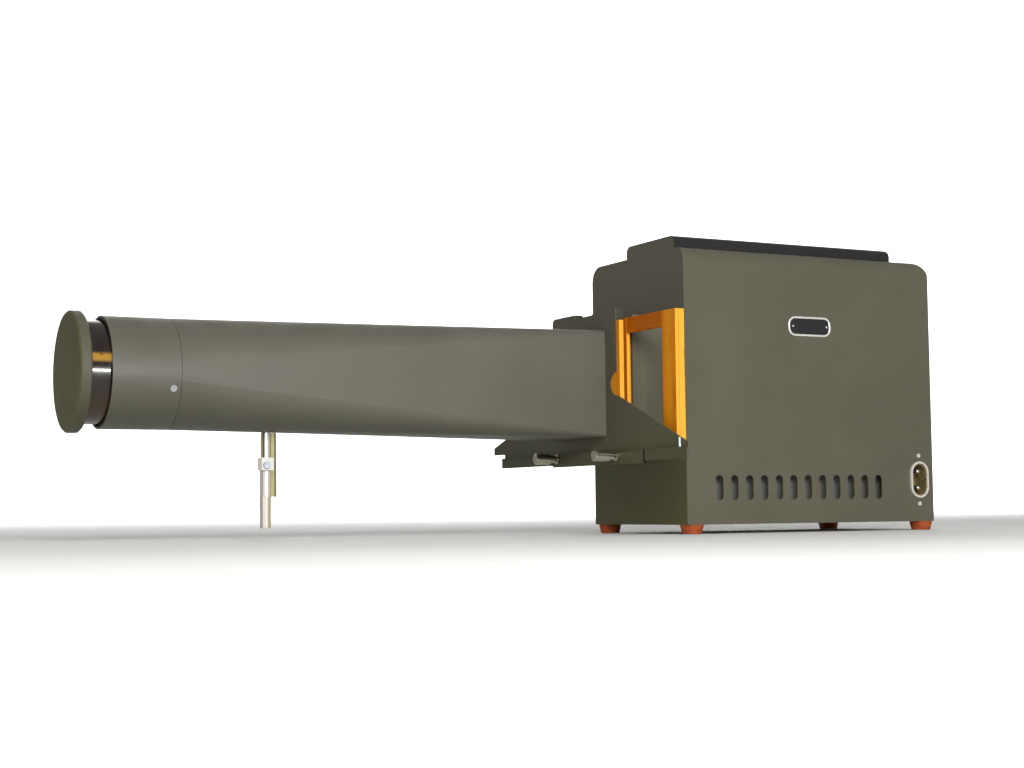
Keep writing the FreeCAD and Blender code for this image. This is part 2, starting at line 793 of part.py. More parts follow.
def lamp():
    """Tubular projection bulb in a ceramic holder on a pillar from the base."""
    top = "dims.axis_height + dims.bulb_half_tall"
    bulb_low = "(dims.axis_height - dims.bulb_half_tall)"
    cap_low = f"({bulb_low} - dims.lamp_cap_tall)"
    holder_low = f"({cap_low} - 10)"
    glass = [
        rod("bulb_tube", "Z", "dims.bulb_radius", (LAMP_X, "0", bulb_low), f"{top} - ({bulb_low})"),
        ball("bulb_dome", "dims.bulb_radius", (LAMP_X, "0", top)),
    ]
    keep(join("bulb_fused", glass), "lamp_bulb")
    cap = rod("bulb_cap_shape", "Z", "dims.lamp_cap_radius", (LAMP_X, "0", cap_low), "dims.lamp_cap_tall")
    keep(cap, "lamp_cap")
    holder = rod("holder_outer", "Z", "dims.holder_radius", (LAMP_X, "0", holder_low), "dims.holder_tall")
    seat = rod("holder_seat", "Z", "dims.lamp_cap_radius + 0.1", (LAMP_X, "0", cap_low), "30")
    keep(cut("holder_cut", holder, [seat]), "lamp_holder")
    pillar = turned(
        "lamp_pillar_body",
        "XZ_Plane",
        "V_Axis",
        [
            ("0", BASE_TOP),
            ("dims.pillar_foot_radius", BASE_TOP),
            ("dims.pillar_foot_radius", f"{BASE_TOP} + 4"),
            ("dims.pillar_radius", f"{BASE_TOP} + 10"),
            ("dims.pillar_radius", f"{holder_low} - 4"),
            ("dims.holder_radius - 3", holder_low),
            ("0", holder_low),
        ],
        (LAMP_X, "0", "0"),
    )
    keep(pillar, "lamp_pillar")


def mirror():
    """Spherical mirror behind the bulb, centred on it, and the strip that carries it."""
    vertex = f"({LAMP_X} + dims.mirror_curve)"
    outer = ball("mirror_outer", "dims.mirror_curve + 2.5", (LAMP_X, "0", "dims.axis_height"))
    inner = ball("mirror_inner", "dims.mirror_curve", (LAMP_X, "0", "dims.axis_height"))
    start = (f"{LAMP_X} + 40", "0", "dims.axis_height")
    disc = rod("mirror_disc", "X", "dims.mirror_radius", start, "50")
    keep(cut("mirror_cut", common("mirror_blank", [outer, disc]), [inner]), "mirror")
    foot = f"({vertex} + 2.6)"
    corners = [
        (foot, BASE_TOP),
        (f"{foot} + 24", BASE_TOP),
        (f"{foot} + 24", f"{BASE_TOP} + 2"),
        (f"{foot} + 2", f"{BASE_TOP} + 2"),
        (f"{foot} + 2", "dims.axis_height + 12"),
        (foot, "dims.axis_height + 12"),
    ]
    strip = extruded("mirror_strip", "XZ_Plane", corners, "-12", "24")
    keep(strip, "mirror_bracket")


def condenser():
    """Barrel through the end plate with two plano-convex lenses, a heat filter and spacer rings."""
    outer = "(dims.condenser_radius + dims.condenser_wall)"
    seat = "(dims.condenser_radius + 0.05)"
    front = f"({HOUSE_LEFT} - 38)"
    back = f"({HOUSE_LEFT} + 54)"
    keep(ring("condenser_barrel_body", front, back, seat, outer), "condenser_barrel")
    sag = "(dims.condenser_curve - sqrt(dims.condenser_curve ^ 2 - dims.condenser_radius ^ 2))"

    def plano_convex(name, flat, towards):
        """A lens with its flat face at one place, bulging towards +X (1) or -X (-1)."""
        vertex = f"({flat} + {towards} * ({sag} + 3))"
        start = (flat if towards > 0 else vertex, "0", "dims.axis_height")
        disc = rod(f"{name}_disc", "X", "dims.condenser_radius", start, f"{sag} + 3")
        centre = (f"{vertex} - {towards} * dims.condenser_curve", "0", "dims.axis_height")
        return common(f"{name}_lens", [disc, ball(f"{name}_ball", "dims.condenser_curve", centre)])

    keep(plano_convex("front", f"{front} + 6", 1), "condenser_lens_front")
    keep(plano_convex("rear", f"{back} - 6", -1), "condenser_lens_rear")
    filter_x = f"({HOUSE_LEFT} + 4)"
    disc = rod("filter_disc", "X", "dims.condenser_radius", (filter_x, "0", "dims.axis_height"), "3")
    keep(disc, "heat_filter")
    ring_width = number("dims.condenser_ring_width")
    curve = number("dims.condenser_curve")
    radius = number("dims.condenser_radius")
    rise = math.sqrt(curve**2 - (radius - ring_width) ** 2) - math.sqrt(curve**2 - radius**2)
    seat = 9.1 + rise
    edges = [
        (front, f"{front} + 6"),
        (f"{front} + {seat}", filter_x),
        (f"{filter_x} + 3", f"{back} - {seat}"),
        (f"{back} - 6", back),
    ]
    inner = "dims.condenser_radius - dims.condenser_ring_width"
    rings = [
        ring(f"spacer{index}", low, high, inner, "dims.condenser_radius")
        for index, (low, high) in enumerate(edges)
    ]
    keep(group("spacer_group", rings), "condenser_rings")


def condenser_housing():
    """Box that joins the slide stage to the lamp house and carries light from the condenser."""
    side = "dims.housing_half_width"
    wall = "dims.housing_wall"
    outer = block(
        "housing_outer",
        (HOUSING_FRONT, f"-{side}", "dims.housing_bottom"),
        (HOUSE_LEFT, side, "dims.housing_top"),
    )
    inner = block(
        "housing_inner",
        (f"{HOUSING_FRONT} + {wall}", f"-{side} + {wall}", f"dims.housing_bottom + {wall}"),
        (f"{HOUSE_LEFT} + 1", f"{side} - {wall}", f"dims.housing_top - {wall}"),
    )
    flange_front = f"({HOUSING_FRONT} - dims.housing_flange)"
    flange = block(
        "housing_flange_block",
        (flange_front, f"-{side}", "dims.channel_back + 0.4"),
        (HOUSING_FRONT, side, "dims.housing_top"),
    )
    start = (f"{flange_front} - 1", "0", "dims.axis_height")
    aperture = rod("housing_aperture", "X", "dims.light_aperture_radius", start, "9")
    box = join("housing_fused", [outer, flange])
    keep(cut("housing_cut", box, [inner, aperture]), "condenser_housing")


# ---------------------------------------------------------------- transformer and wiring
CORE_X = f"({HOUSE_RIGHT} - dims.core_from_right)"
CORE_Y = "dims.core_place_across"


def transformer():
    """Laminated core on the base with one coil around its middle leg."""

    def slab(name, half_x, half_y, low, high, shift="0"):
        return block(
            name,
            (f"{CORE_X} + {shift} - ({half_x})", f"{CORE_Y} - ({half_y})", low),
            (f"{CORE_X} + {shift} + {half_x}", f"{CORE_Y} + {half_y}", high),
        )

    top = f"({BASE_TOP} + dims.core_tall)"
    low = f"({BASE_TOP} + dims.core_limb)"
    high = f"({top} - dims.core_limb)"
    openings = [
        slab(f"core_gap{side}", "9", "dims.core_half_depth + 1", low, high, side)
        for side in ("-19", "19")
    ]
    stack = slab("core_block", "dims.core_half_length", "dims.core_half_depth", BASE_TOP, top)
    keep(cut("core_cut", stack, openings), "transformer_core")
    coil = ("dims.coil_half_length", "dims.coil_half_depth", f"{low} + 0.5", f"{high} - 0.5")
    outer = slab("coil_outer", *coil)
    leg = slab("coil_leg", "10.3", "dims.core_half_depth + 0.3", low, high)

    def radius_of(middle, bounds, edge):
        return 6.0 if abs(edge.BoundBox.ZLength - bounds.ZLength) < 0.01 else None

    keep(cut("coil_cut", rounded("coil_rounded", outer, radius_of), [leg]), "transformer_coil")


def lead(name, route, radius):
    """A round lead along straight runs joined by arcs that touch each run."""
    points = [FreeCAD.Vector(*(number(value) for value in point)) for point in route]
    edges = []
    start = points[0]
    for before, corner, after in zip(points, points[1:], points[2:]):
        incoming = corner - before
        outgoing = after - corner
        turn = incoming.getAngle(outgoing)
        setback = 0.45 * min(incoming.Length, outgoing.Length)
        first = corner - incoming.normalize() * setback
        last = corner + outgoing.normalize() * setback
        bend = setback / math.tan(turn / 2)
        inward = (first + last) * 0.5 - corner
        inward.normalize()
        middle = corner + inward * (math.hypot(bend, setback) - bend)
        edges.append(Part.LineSegment(start, first).toShape())
        edges.append(Part.Arc(first, middle, last).toShape())
        start = last
        print(f"{name}: bend radius {bend:.1f}")
    edges.append(Part.LineSegment(start, points[-1]).toShape())
    path = Part.Wire(edges)
    circle = Part.Wire(Part.Circle(points[0], points[1] - points[0], radius).toShape())
    shape = path.makePipeShell([circle], True, False)
    expected = math.pi * radius**2 * path.Length
    if abs(shape.Volume - expected) > 0.01 * expected:
        raise RuntimeError(f"{name} has the wrong volume")
    solid = DOCUMENT.addObject("Part::Feature", f"{name}_solid")
    solid.Shape = shape
    keep(solid, name)


def wiring():
    """Mains lead from the inlet to the coil, and lamp lead from the coil to the holder."""
    radius = number("dims.lead_radius")
    coil_near = f"{CORE_Y} - dims.coil_half_depth"
    height = INLET_Z
    lead(
        "mains_lead",
        [
            (INLET_X, f"-{HOUSE_SIDE} + dims.inlet_depth", height),
            (INLET_X, "-40", height),
            (f"{CORE_X} + 10", "-36", height),
            (f"{CORE_X} + 10", coil_near, height),
        ],
        radius,
    )
    holder_z = "dims.axis_height - 62"
    lead(
        "lamp_lead",
        [
            (f"{CORE_X} - 16", coil_near, "62"),
            (f"{CORE_X} - 16", "-40", "62"),
            (f"{CORE_X} - 66", "-52", "74"),
            (f"{LAMP_X} + 60", "-54", "90"),
            (f"{LAMP_X}", "-50", holder_z),
            (f"{LAMP_X}", "-19", holder_z),
        ],
        radius,
    )


# ---------------------------------------------------------------- slide stage
CLAMPS = {"near": "dims.clamp_near", "far": "dims.clamp_far"}
NEAR_TIP = "(-dims.wing_half_span + dims.wing_near_inset)"
FAR_LIP = "(dims.wing_half_span - dims.lip_length)"


def clamp_holes(name, start, radius, depth):
    """A hole for each clamp screw, from a place along X."""
    return [
        rod(f"{name}_{side}", "X", radius, (start, y, "dims.clamp_height"), depth)
        for side, y in CLAMPS.items()
    ]


def stage_aperture(name, start, depth):
    """The upright rectangular opening for the picture, about the optical axis."""
    half_width = "dims.stage_aperture_width / 2"
    half_tall = "dims.stage_aperture_tall / 2"
    return block(
        name,
        (start, f"-{half_width}", f"dims.axis_height - {half_tall}"),
        (f"{start} + {depth}", half_width, f"dims.axis_height + {half_tall}"),
    )


def stage_plate():
    """Thin front plate: upright panel with finger notches, and two sloping wings above the rail."""
    corners = [
        (NEAR_TIP, "dims.rail_end_bottom"),
        (FAR_LIP, "dims.rail_end_bottom"),
        (FAR_LIP, "dims.lip_underside"),
        ("dims.wing_half_span", "dims.lip_underside"),
        ("dims.wing_half_span", "dims.far_tip_height"),
        ("dims.stage_far_side", "dims.wing_root_height"),
        ("dims.stage_far_side", "dims.stage_top"),
        ("dims.stage_near_side", "dims.stage_top"),
        ("dims.stage_near_side", "dims.wing_root_height"),
        (NEAR_TIP, "dims.wing_tip_height"),
    ]
    body = new_body("stage_plate_body")
    outline = polygon(body, "stage_outline", "YZ_Plane", corners, "dims.plate_front")
    pad(body, outline, "dims.plate_thickness")

    def radius_of(middle, bounds, edge):
        upper = middle.z > bounds.ZMax - 0.01 and edge.BoundBox.XLength > 1
        return (6.0 if middle.y > 0 else 1.5) if upper else None

    plate = rounded("stage_plate_rounded", body, radius_of)
    start = "dims.plate_front - 2"
    notches = [
        rod(f"notch{place}", "X", "dims.notch_radius", (start, side, "dims.notch_height"), "8")
        for place, side in enumerate(("dims.stage_near_side", "dims.stage_far_side"))
    ]
    low = "(dims.stage_top - dims.scallop_depth)"
    dip = block(
        "scallop_flat",
        (start, "dims.scallop_near", low),
        (f"{start} + 8", "dims.scallop_far", f"{low} + dims.scallop_radius"),
    )
    centre = (start, "dims.scallop_near", f"{low} + dims.scallop_radius")
    rise = rod("scallop_rise", "X", "dims.scallop_radius", centre, "8")
    tools = notches + [dip, rise, stage_aperture("plate_aperture", start, "8")]
    tools += clamp_holes("plate_clamp_hole", start, "dims.clamp_thread_radius + 0.06", "8")
    keep(cut("stage_plate_cut", plate, tools), "stage_plate")


def stage_rails():
    """Bar along the foot of the stage plate in three lengths, and the channel that the changer runs in."""
    front = "(dims.plate_front - dims.rail_proud)"
    gap = "dims.seam_gap / 2"
    bar = block(
        "rail_block",
        (front, f"-dims.rail_seam + {gap}", "dims.rail_bottom"),
        ("dims.plate_front", f"dims.rail_far_seam - {gap}", "dims.rail_top"),
    )
    holes = clamp_holes("rail_clamp_hole", f"{front} - 2", "dims.clamp_thread_radius + 0.06", "8")
    keep(cut("rail_cut", bar, holes), "stage_rail_bar")
    ends = [
        block(
            "rail_end_near",
            (front, "-dims.wing_half_span", "dims.rail_end_bottom"),
            ("dims.plate_front", f"-dims.rail_seam - {gap}", "dims.rail_top"),
        ),
        block(
            "rail_end_far",
            (front, f"dims.rail_far_seam + {gap}", "dims.rail_end_bottom"),
            ("dims.plate_front", FAR_LIP, "dims.rail_top"),
        ),
    ]
    keep(group("rail_end_group", ends), "rail_end_blocks")

    back = f"({PLATE_BACK} + dims.channel_depth)"
    low = "(dims.channel_floor - 3)"
    corners = [
        (PLATE_BACK, low),
        (back, low),
        (back, "dims.channel_back"),
        (f"{back} - dims.channel_wall", "dims.channel_back"),
        (f"{back} - dims.channel_wall", "dims.channel_floor"),
        (PLATE_BACK, "dims.channel_floor"),
    ]
    half = "dims.channel_half_length"
    channel = extruded("channel_body", "XZ_Plane", corners, f"-{half}", f"2 * {half}")
    trims = []
    for side, sign in (("near", "-1"), ("far", "1")):
        triangle = [
            (f"{back} - 0.6 * dims.channel_corner", f"{sign} * {half}"),
            (f"{back} + 1", f"{sign} * ({half} + 1)"),
            (f"{back} + 1", f"{sign} * ({half} - dims.channel_corner)"),
        ]
        body = new_body(f"channel_trim_{side}")
        outline = polygon(body, f"channel_trim_{side}_outline", "XY_Plane", triangle, f"{low} - 1")
        pad(body, outline, "30")
        trims.append(body)
    keep(cut("channel_cut", channel, trims), "changer_channel")


def stage_guides():
    """Wooden guide frame behind the plate, the bar above it, and the end stops of the changer."""
    side = "dims.guide_half_width"
    back = f"({PLATE_BACK} + dims.guide_thickness)"
    frame = block(
        "guide_block",
        (PLATE_BACK, f"-{side}", "dims.channel_floor"),
        (back, side, "dims.guide_top"),
    )
    opening = stage_aperture("guide_aperture", f"{PLATE_BACK} - 2", "12")
    keep(cut("guide_cut", frame, [opening]), "changer_guide")

    bar_back = f"{PLATE_BACK} + dims.top_bar_thickness"
    near = "dims.stage_near_side"
    far = "(dims.stage_far_side - 6)"
    bar = block(
        "top_bar_block",
        (PLATE_BACK, near, "dims.guide_top"),
        (bar_back, far, "dims.stage_top - dims.scallop_depth - 1"),
    )
    lengths = {
        "near_end": (near, "dims.scallop_near - dims.scallop_radius"),
        "far_end": ("dims.scallop_far", far),
    }
    ends = [
        block(f"top_bar_{name}", (PLATE_BACK, start, "dims.guide_top"), (bar_back, end, "dims.stage_top"))
        for name, (start, end) in lengths.items()
    ]
    keep(join("top_bar_fused", [bar] + ends), "stage_top_bar")

    pins = []
    for name, sign in (("near", "-1"), ("far", "1")):
        at = f"{sign} * (dims.changer_length / 2 + dims.window_pitch / 2 + dims.end_stop_radius + 0.3)"
        place = ("dims.changer_front + 3", at, "dims.channel_floor")
        pins.append(rod(f"end_stop_{name}", "Z", "dims.end_stop_radius", place, "dims.end_stop_tall"))
    x = "(dims.plate_front - dims.front_pin_radius - 0.1)"
    y = "-dims.wing_half_span + dims.front_pin_inset"
    radius = "dims.front_pin_radius"
    stud = rod("front_pin_shank", "Z", radius, (x, y, "dims.rail_top"), "dims.front_pin_tall")
    dome = ball("front_pin_dome", radius, (x, y, "dims.rail_top + dims.front_pin_tall"))
    pins.append(join("front_pin", [stud, dome]))
    keep(group("stop_group", pins), "changer_stops")


def slide_changer():
    """Two glued wooden layers with a picture window and a slide seat in each half."""
    middle = "-dims.window_pitch / 2"
    low = f"({middle} - dims.changer_length / 2)"
    high = f"({middle} + dims.changer_length / 2)"
    seam = "(dims.changer_front + dims.changer_front_layer)"
    back = f"({seam} + dims.changer_back_layer)"
    layers = (
        ("changer_front_frame", "dims.changer_front", seam, "dims.window_width", "dims.window_tall"),
        ("changer_back_frame", seam, back, "dims.slide_width", "dims.slide_tall"),
    )
    for name, near, far, width, tall in layers:
        panel = block(f"{name}_panel", (near, low, "dims.changer_bottom"), (far, high, "dims.changer_top"))
        windows = [
            block(
                f"{name}_window{index}",
                (f"{near} - 1", f"{centre} - {width} / 2", f"dims.axis_height - {tall} / 2"),
                (f"{far} + 1", f"{centre} + {width} / 2", f"dims.axis_height + {tall} / 2"),
            )
            for index, centre in enumerate(("-dims.window_pitch", "0"))
        ]
        keep(cut(f"{name}_cut", panel, windows), name)


def clamp_screws():
    """Two bright round-headed clamp screws that point along the tube, below it."""
    face = "dims.plate_front - dims.rail_proud"
    tip = f"{face} - dims.clamp_length"
    end = f"{PLATE_BACK} - 0.2"
    thread = "dims.clamp_thread_radius"
    profile = [
        (tip, "0"),
        (tip, "dims.clamp_radius - 1.2"),
        (f"{tip} + 1.2", "dims.clamp_radius"),
        (f"{face} - 11", "dims.clamp_radius"),
        (f"{face} - 10", "dims.clamp_radius - 2"),
        (f"{face} - 2.4", "dims.clamp_radius - 2"),
        (f"{face} - 2", "dims.clamp_radius - 0.6"),
        (f"{face} - 0.2", "dims.clamp_radius - 0.6"),
        (f"{face} - 0.2", thread),
        (end, thread),
        (end, "0"),
    ]
    for side, y in CLAMPS.items():
        place = ("0", y, "dims.clamp_height")
        screw = turned(f"clamp_screw_{side}_body", "XZ_Plane", "H_Axis", profile, place)
        keep(screw, f"clamp_screw_{side}")


# ---------------------------------------------------------------- tube and projection lens
def tube_section(body, name, inset, offset):
    """Rounded rectangle where the tube meets the stage: four arcs and four straight sides."""
    sketch = new_sketch(body, name, "YZ_Plane", offset)
    radius = number("dims.tube_base_corner") - inset
    across = number("dims.tube_base_half_width") - inset - radius
    low = number("dims.tube_base_bottom") + inset + radius
    high = number("dims.tube_base_top") - inset - radius
    centres = ((across, low), (across, high), (-across, high), (-across, low))
    arcs = []
    for quarter, (y, z) in enumerate(centres):
        start = math.radians(90 * quarter - 90)
        circle = Part.Circle(FreeCAD.Vector(y, z, 0), FreeCAD.Vector(0, 0, 1), radius)
        arcs.append(Part.ArcOfCircle(circle, start, start + math.pi / 2))
    for arc, following in zip(arcs, arcs[1:] + arcs[:1]):
        sketch.addGeometry(arc)
        sketch.addGeometry(Part.LineSegment(arc.EndPoint, following.StartPoint))
    return sketch


def tube_circle(body, name, radius, offset):
    """Round section in eight arcs: a short arc grows out of each straight side of the other section."""
    sketch = new_sketch(body, name, "YZ_Plane", offset)
    centre = FreeCAD.Vector(0, number("dims.axis_height"), 0)
    circle = Part.Circle(centre, FreeCAD.Vector(0, 0, 1), number(radius))
    side = math.radians(22)
    for quarter in range(4):
        start = math.radians(90 * quarter - 90) + side / 2
        end = start + math.pi / 2 - side
        sketch.addGeometry(Part.ArcOfCircle(circle, start, end))
        sketch.addGeometry(Part.ArcOfCircle(circle, end, end + side))
    return sketch


def tube():
    """Square-to-round tube from the stage plate to the lens sleeve."""

    def loft(name, inset, radius, start, end):
        body = new_body(name)
        base = tube_section(body, f"{name}_base", inset, start)
        tip = tube_circle(body, f"{name}_tip", radius, end)
        feature = body.newObject("PartDesign::AdditiveLoft", f"{name}_loft")
        feature.Profile = base
        feature.Sections = [tip]
        feature.Ruled = True
        return body

    outer = loft("tube_outer", 0, "dims.tube_radius", "dims.plate_front", "dims.tube_seam")
    wall = number("dims.tube_wall")
    inner = loft(
        "tube_inner",
        wall,
        "dims.tube_radius - dims.tube_wall",
        "dims.plate_front + 0.01",
        "dims.tube_seam - 0.01",
    )
    keep(cut("tube_cut", outer, [inner]), "tube_body")


def sleeve_screw_angles():
    """Directions of the radial screws about the optical axis: one on the near side and two out of sight."""
    return [math.radians(angle) for angle in (198.5, 318.5, 78.5)]


def radial(name, radius, angle, inner, outer, along):
    """A cylinder that points straight out from the optical axis at an angle about it."""
    direction = FreeCAD.Vector(0, math.cos(angle), math.sin(angle))
    solid = DOCUMENT.addObject("Part::Cylinder", name)
    solid.Placement = FreeCAD.Placement(
        FreeCAD.Vector(0, 0, 0),
        FreeCAD.Rotation(FreeCAD.Vector(0, 0, 1), direction),
    )
    bind(
        solid,
        Radius=radius,
        Height=f"({outer}) - ({inner})",
        Base_x=along,
        Base_y=f"({inner}) * {math.cos(angle)}",
        Base_z=f"dims.axis_height + ({inner}) * {math.sin(angle)}",
    )
    return solid


def sleeve():
    """Front sleeve, the ring that joins it to the tube, three radial screws and the focusing bush."""
    front = "(dims.tube_seam - dims.sleeve_length)"
    along = "dims.tube_seam - dims.sleeve_screw_inset"
    bore = "dims.sleeve_bore"
    outside = "dims.tube_radius"
    spans = {
        "sleeve_hole": ("1.9", f"{bore} - 1", f"{outside} + 1"),
        "ring_hole": ("1.6", "dims.barrel_radius - 2", f"{bore} + 1"),
        "head": ("3.2", outside, f"{outside} + 1.3"),
        "recess": ("1.5", f"{outside} + 0.5", f"{outside} + 2"),
        "shank": ("1.5", "dims.barrel_radius + 0.6", f"{outside} + 0.1"),
    }
    sleeve_holes = []
    ring_holes = []
    screws = []
    for index, angle in enumerate(sleeve_screw_angles()):
        pieces = {
            name: radial(f"sleeve_{name}{index}", radius, angle, inner, outer, along)
            for name, (radius, inner, outer) in spans.items()
        }
        sleeve_holes.append(pieces["sleeve_hole"])
        ring_holes.append(pieces["ring_hole"])
        blank = join(f"sleeve_screw_blank{index}", [pieces["head"], pieces["shank"]])
        screws.append(cut(f"sleeve_screw{index}", blank, [pieces["recess"]]))
    shell = ring("sleeve_shell", front, "dims.tube_seam - 0.4", bore, outside)
    keep(cut("sleeve_cut", shell, sleeve_holes), "front_sleeve")
    inside = "dims.barrel_radius + 0.3"
    blank = ring("joint_ring_body", "dims.tube_seam - 18", "dims.tube_seam + 5", inside, f"{bore} - 0.1")
    keep(cut("joint_ring_cut", blank, ring_holes), "joint_ring")
    keep(group("sleeve_screw_group", screws), "sleeve_screws")
    running = "dims.barrel_radius + dims.running_clearance"
    bush = ring("focus_bush_body", f"{front} + 3", f"{front} + 39", running, f"{bore} - 0.05")
    keep(bush, "focus_bush")


def projection_lens():
    """Barrel with a shoulder, a cemented pair of elements behind a retaining ring, and a push-on cap."""
    front = "dims.barrel_front"
    back = f"({front} + dims.barrel_length)"
    bore = "(dims.barrel_radius - dims.barrel_wall)"
    shoulder = f"({front} + 30)"
    profile = [
        (front, bore),
        (front, "dims.barrel_radius - 0.6"),
        (f"{front} + 0.6", "dims.barrel_radius"),
        (back, "dims.barrel_radius"),
        (back, bore),
        (f"{shoulder} + 4", bore),
        (f"{shoulder} + 4", f"{bore} - 4"),
        (shoulder, f"{bore} - 4"),
        (shoulder, bore),
    ]
    keep(on_axis("lens_barrel_body", profile), "lens_barrel")
    curve = "dims.lens_curve"
    front_vertex = f"({shoulder} - 19)"
    joint = f"({shoulder} - 5)"
    sag = "(dims.lens_curve - sqrt(dims.lens_curve ^ 2 - dims.lens_radius ^ 2))"
    crown_start = (front_vertex, "0", "dims.axis_height")
    crown = common(
        "crown_common",
        [
            rod("crown_disc", "X", "dims.lens_radius", crown_start, f"{joint} - {front_vertex}"),
            ball("crown_front", curve, (f"{front_vertex} + {curve}", "0", "dims.axis_height")),
            ball("crown_back", curve, (f"{joint} - {curve}", "0", "dims.axis_height")),
        ],
    )
    keep(crown, "front_lens")
    flint_front = f"({joint} - {sag})"
    flint_start = (flint_front, "0", "dims.axis_height")
    flint = rod("flint_disc", "X", "dims.lens_radius", flint_start, f"{shoulder} - {flint_front}")
    hollow = ball("flint_hollow", f"{curve} + 0.02", (f"{joint} - {curve}", "0", "dims.axis_height"))
    keep(cut("flint_cut", flint, [hollow]), "rear_lens")
    seat = f"({front_vertex} + {sag} - 0.75)"
    retainer = ring("lens_ring_body", f"{seat} - 4", seat, "dims.lens_radius - 3.3", "dims.lens_radius")
    keep(retainer, "lens_ring")
    cap_front = "-dims.overall_length / 2"
    cap_back = f"({cap_front} + dims.cap_thickness)"
    chamfer = "dims.cap_chamfer"
    cap = [
        (cap_front, "0"),
        (cap_front, f"dims.cap_radius - {chamfer}"),
        (f"{cap_front} + {chamfer}", "dims.cap_radius"),
        (f"{cap_back} - {chamfer}", "dims.cap_radius"),
        (cap_back, f"dims.cap_radius - {chamfer}"),
        (cap_back, "dims.cap_bore"),
        (f"{cap_front} + dims.cap_face", "dims.cap_bore"),
        (f"{cap_front} + dims.cap_face", "0"),
    ]
    keep(on_axis("lens_cap_body", cap), "lens_cap")


# ---------------------------------------------------------------- support leg
def support_leg():
    """Fixed bar under the tube with a clamp block, and the round leg that slides through the block."""
    x = "dims.leg_place"
    bar_left = f"({x} + dims.leg_stem_radius + 0.3)"
    bar_right = f"{bar_left} + dims.leg_bar_width"
    bar = block(
        "leg_bar_block",
        (bar_left, "0", "dims.leg_collar"),
        (bar_right, "dims.leg_bar_depth", "dims.leg_rod_top + 0.6"),
    )
    rebate = block(
        "leg_bar_rebate",
        (f"{bar_left} + dims.leg_bar_flange", "-1", "dims.leg_collar - 1"),
        (f"{bar_right} + 1", "dims.leg_bar_rebate", "dims.leg_rod_top + 2"),
    )
    keep(cut("leg_bar_cut", bar, [rebate]), "leg_bar")
    low = "dims.leg_clamp_bottom"
    high = "(dims.leg_clamp_bottom + dims.leg_clamp_tall)"
    clamp = block(
        "leg_clamp_block",
        (f"{x} - dims.leg_clamp_width / 2", "-8.4", low),
        (bar_left, "7.4", high),
    )
    running = "dims.leg_rod_radius + dims.running_clearance"
    bore = rod("leg_clamp_bore", "Z", running, (x, "0", f"{low} - 1"), "20")
    screw_x = "dims.leg_screw_place"
    screw_z = "dims.leg_screw_height"
    tapped = rod("leg_clamp_tapped", "Y", "2.06", (screw_x, "-10", screw_z), "7")

    def radius_of(middle, bounds, edge):
        upright = edge.BoundBox.ZLength > 10
        return 2.2 if upright and middle.x < bounds.XMin + 0.01 else None

    keep(cut("leg_clamp_cut", rounded("leg_clamp_rounded", clamp, radius_of), [bore, tapped]), "leg_clamp")
    seat = "-8.5"
    face = f"({seat} - dims.leg_screw_head)"
    screw = turned(
        "leg_screw_body",
        "YZ_Plane",
        "H_Axis",
        [
            (face, "0"),
            (face, "dims.leg_screw_radius - 0.6"),
            (f"{face} + 0.6", "dims.leg_screw_radius"),
            (seat, "dims.leg_screw_radius"),
            (seat, "2"),
            ("-4.9", "2"),
            ("-4.9", "0"),
        ],
        (screw_x, "0", screw_z),
    )
    keep(screw, "leg_screw")
    rod_profile = [
        ("0", f"{low} - 0.3"),
        ("dims.leg_rod_radius", f"{low} - 0.3"),
        ("dims.leg_rod_radius", "dims.leg_rod_top - 0.6"),
        ("dims.leg_rod_radius - 0.6", "dims.leg_rod_top"),
        ("0", "dims.leg_rod_top"),
    ]
    keep(turned("leg_rod_body", "XZ_Plane", "V_Axis", rod_profile, (x, "0", "0")), "leg_rod")
    stem_profile = [
        ("0", "dims.leg_collar"),
        ("dims.leg_stem_radius", "dims.leg_collar"),
        ("dims.leg_stem_radius", f"{low} - 0.7"),
        ("dims.leg_stem_radius - 0.4", f"{low} - 0.3"),
        ("0", f"{low} - 0.3"),
    ]
    keep(turned("leg_stem_body", "XZ_Plane", "V_Axis", stem_profile, (x, "0", "0")), "leg_stem")
    tip_profile = [
        ("0", "dims.leg_bottom"),
        ("dims.leg_tip_radius - 0.7", "dims.leg_bottom"),
        ("dims.leg_tip_radius", "dims.leg_bottom + 0.7"),
        ("dims.leg_stem_radius", "dims.leg_collar"),
        ("0", "dims.leg_collar"),
    ]
    keep(turned("leg_tip_body", "XZ_Plane", "V_Axis", tip_profile, (x, "0", "0")), "leg_tip")


# ---------------------------------------------------------------- build, check and write
def write_parts():
    DOCUMENT.recompute()
    for item in DOCUMENT.Objects:
        if "Invalid" in item.State or "Error" in item.State:
            raise RuntimeError(f"{item.Name} failed: {item.State}")
    os.makedirs("parts", exist_ok=True)
    for item in SUBPARTS:
        shape = item.Shape
        if shape.isNull() or not shape.isValid() or shape.Volume <= 0:
            raise RuntimeError(f"{item.Label} has no valid solid")
        shape.exportStep(f"parts/{item.Label}.step")
    print(f"{len(SUBPARTS)} sub-parts written")


for build in (
    lamp_house_shell,
    base_plate,
    end_plate,
    vent_hood,
    light_traps,
    feet,
    cover_screws,
    badge,
    mains_inlet,
    lamp,
    mirror,
    condenser,
    condenser_housing,
    transformer,
    wiring,
    stage_plate,
    stage_rails,
    stage_guides,
    slide_changer,
    clamp_screws,
    tube,
    sleeve,
    projection_lens,
    support_leg,
):
    build()
write_parts()
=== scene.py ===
"""Looks of the lantern-slide projector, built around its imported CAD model. Lengths are in metres."""

import json
import math

import bmesh
import bpy
from mathutils import Matrix, Vector


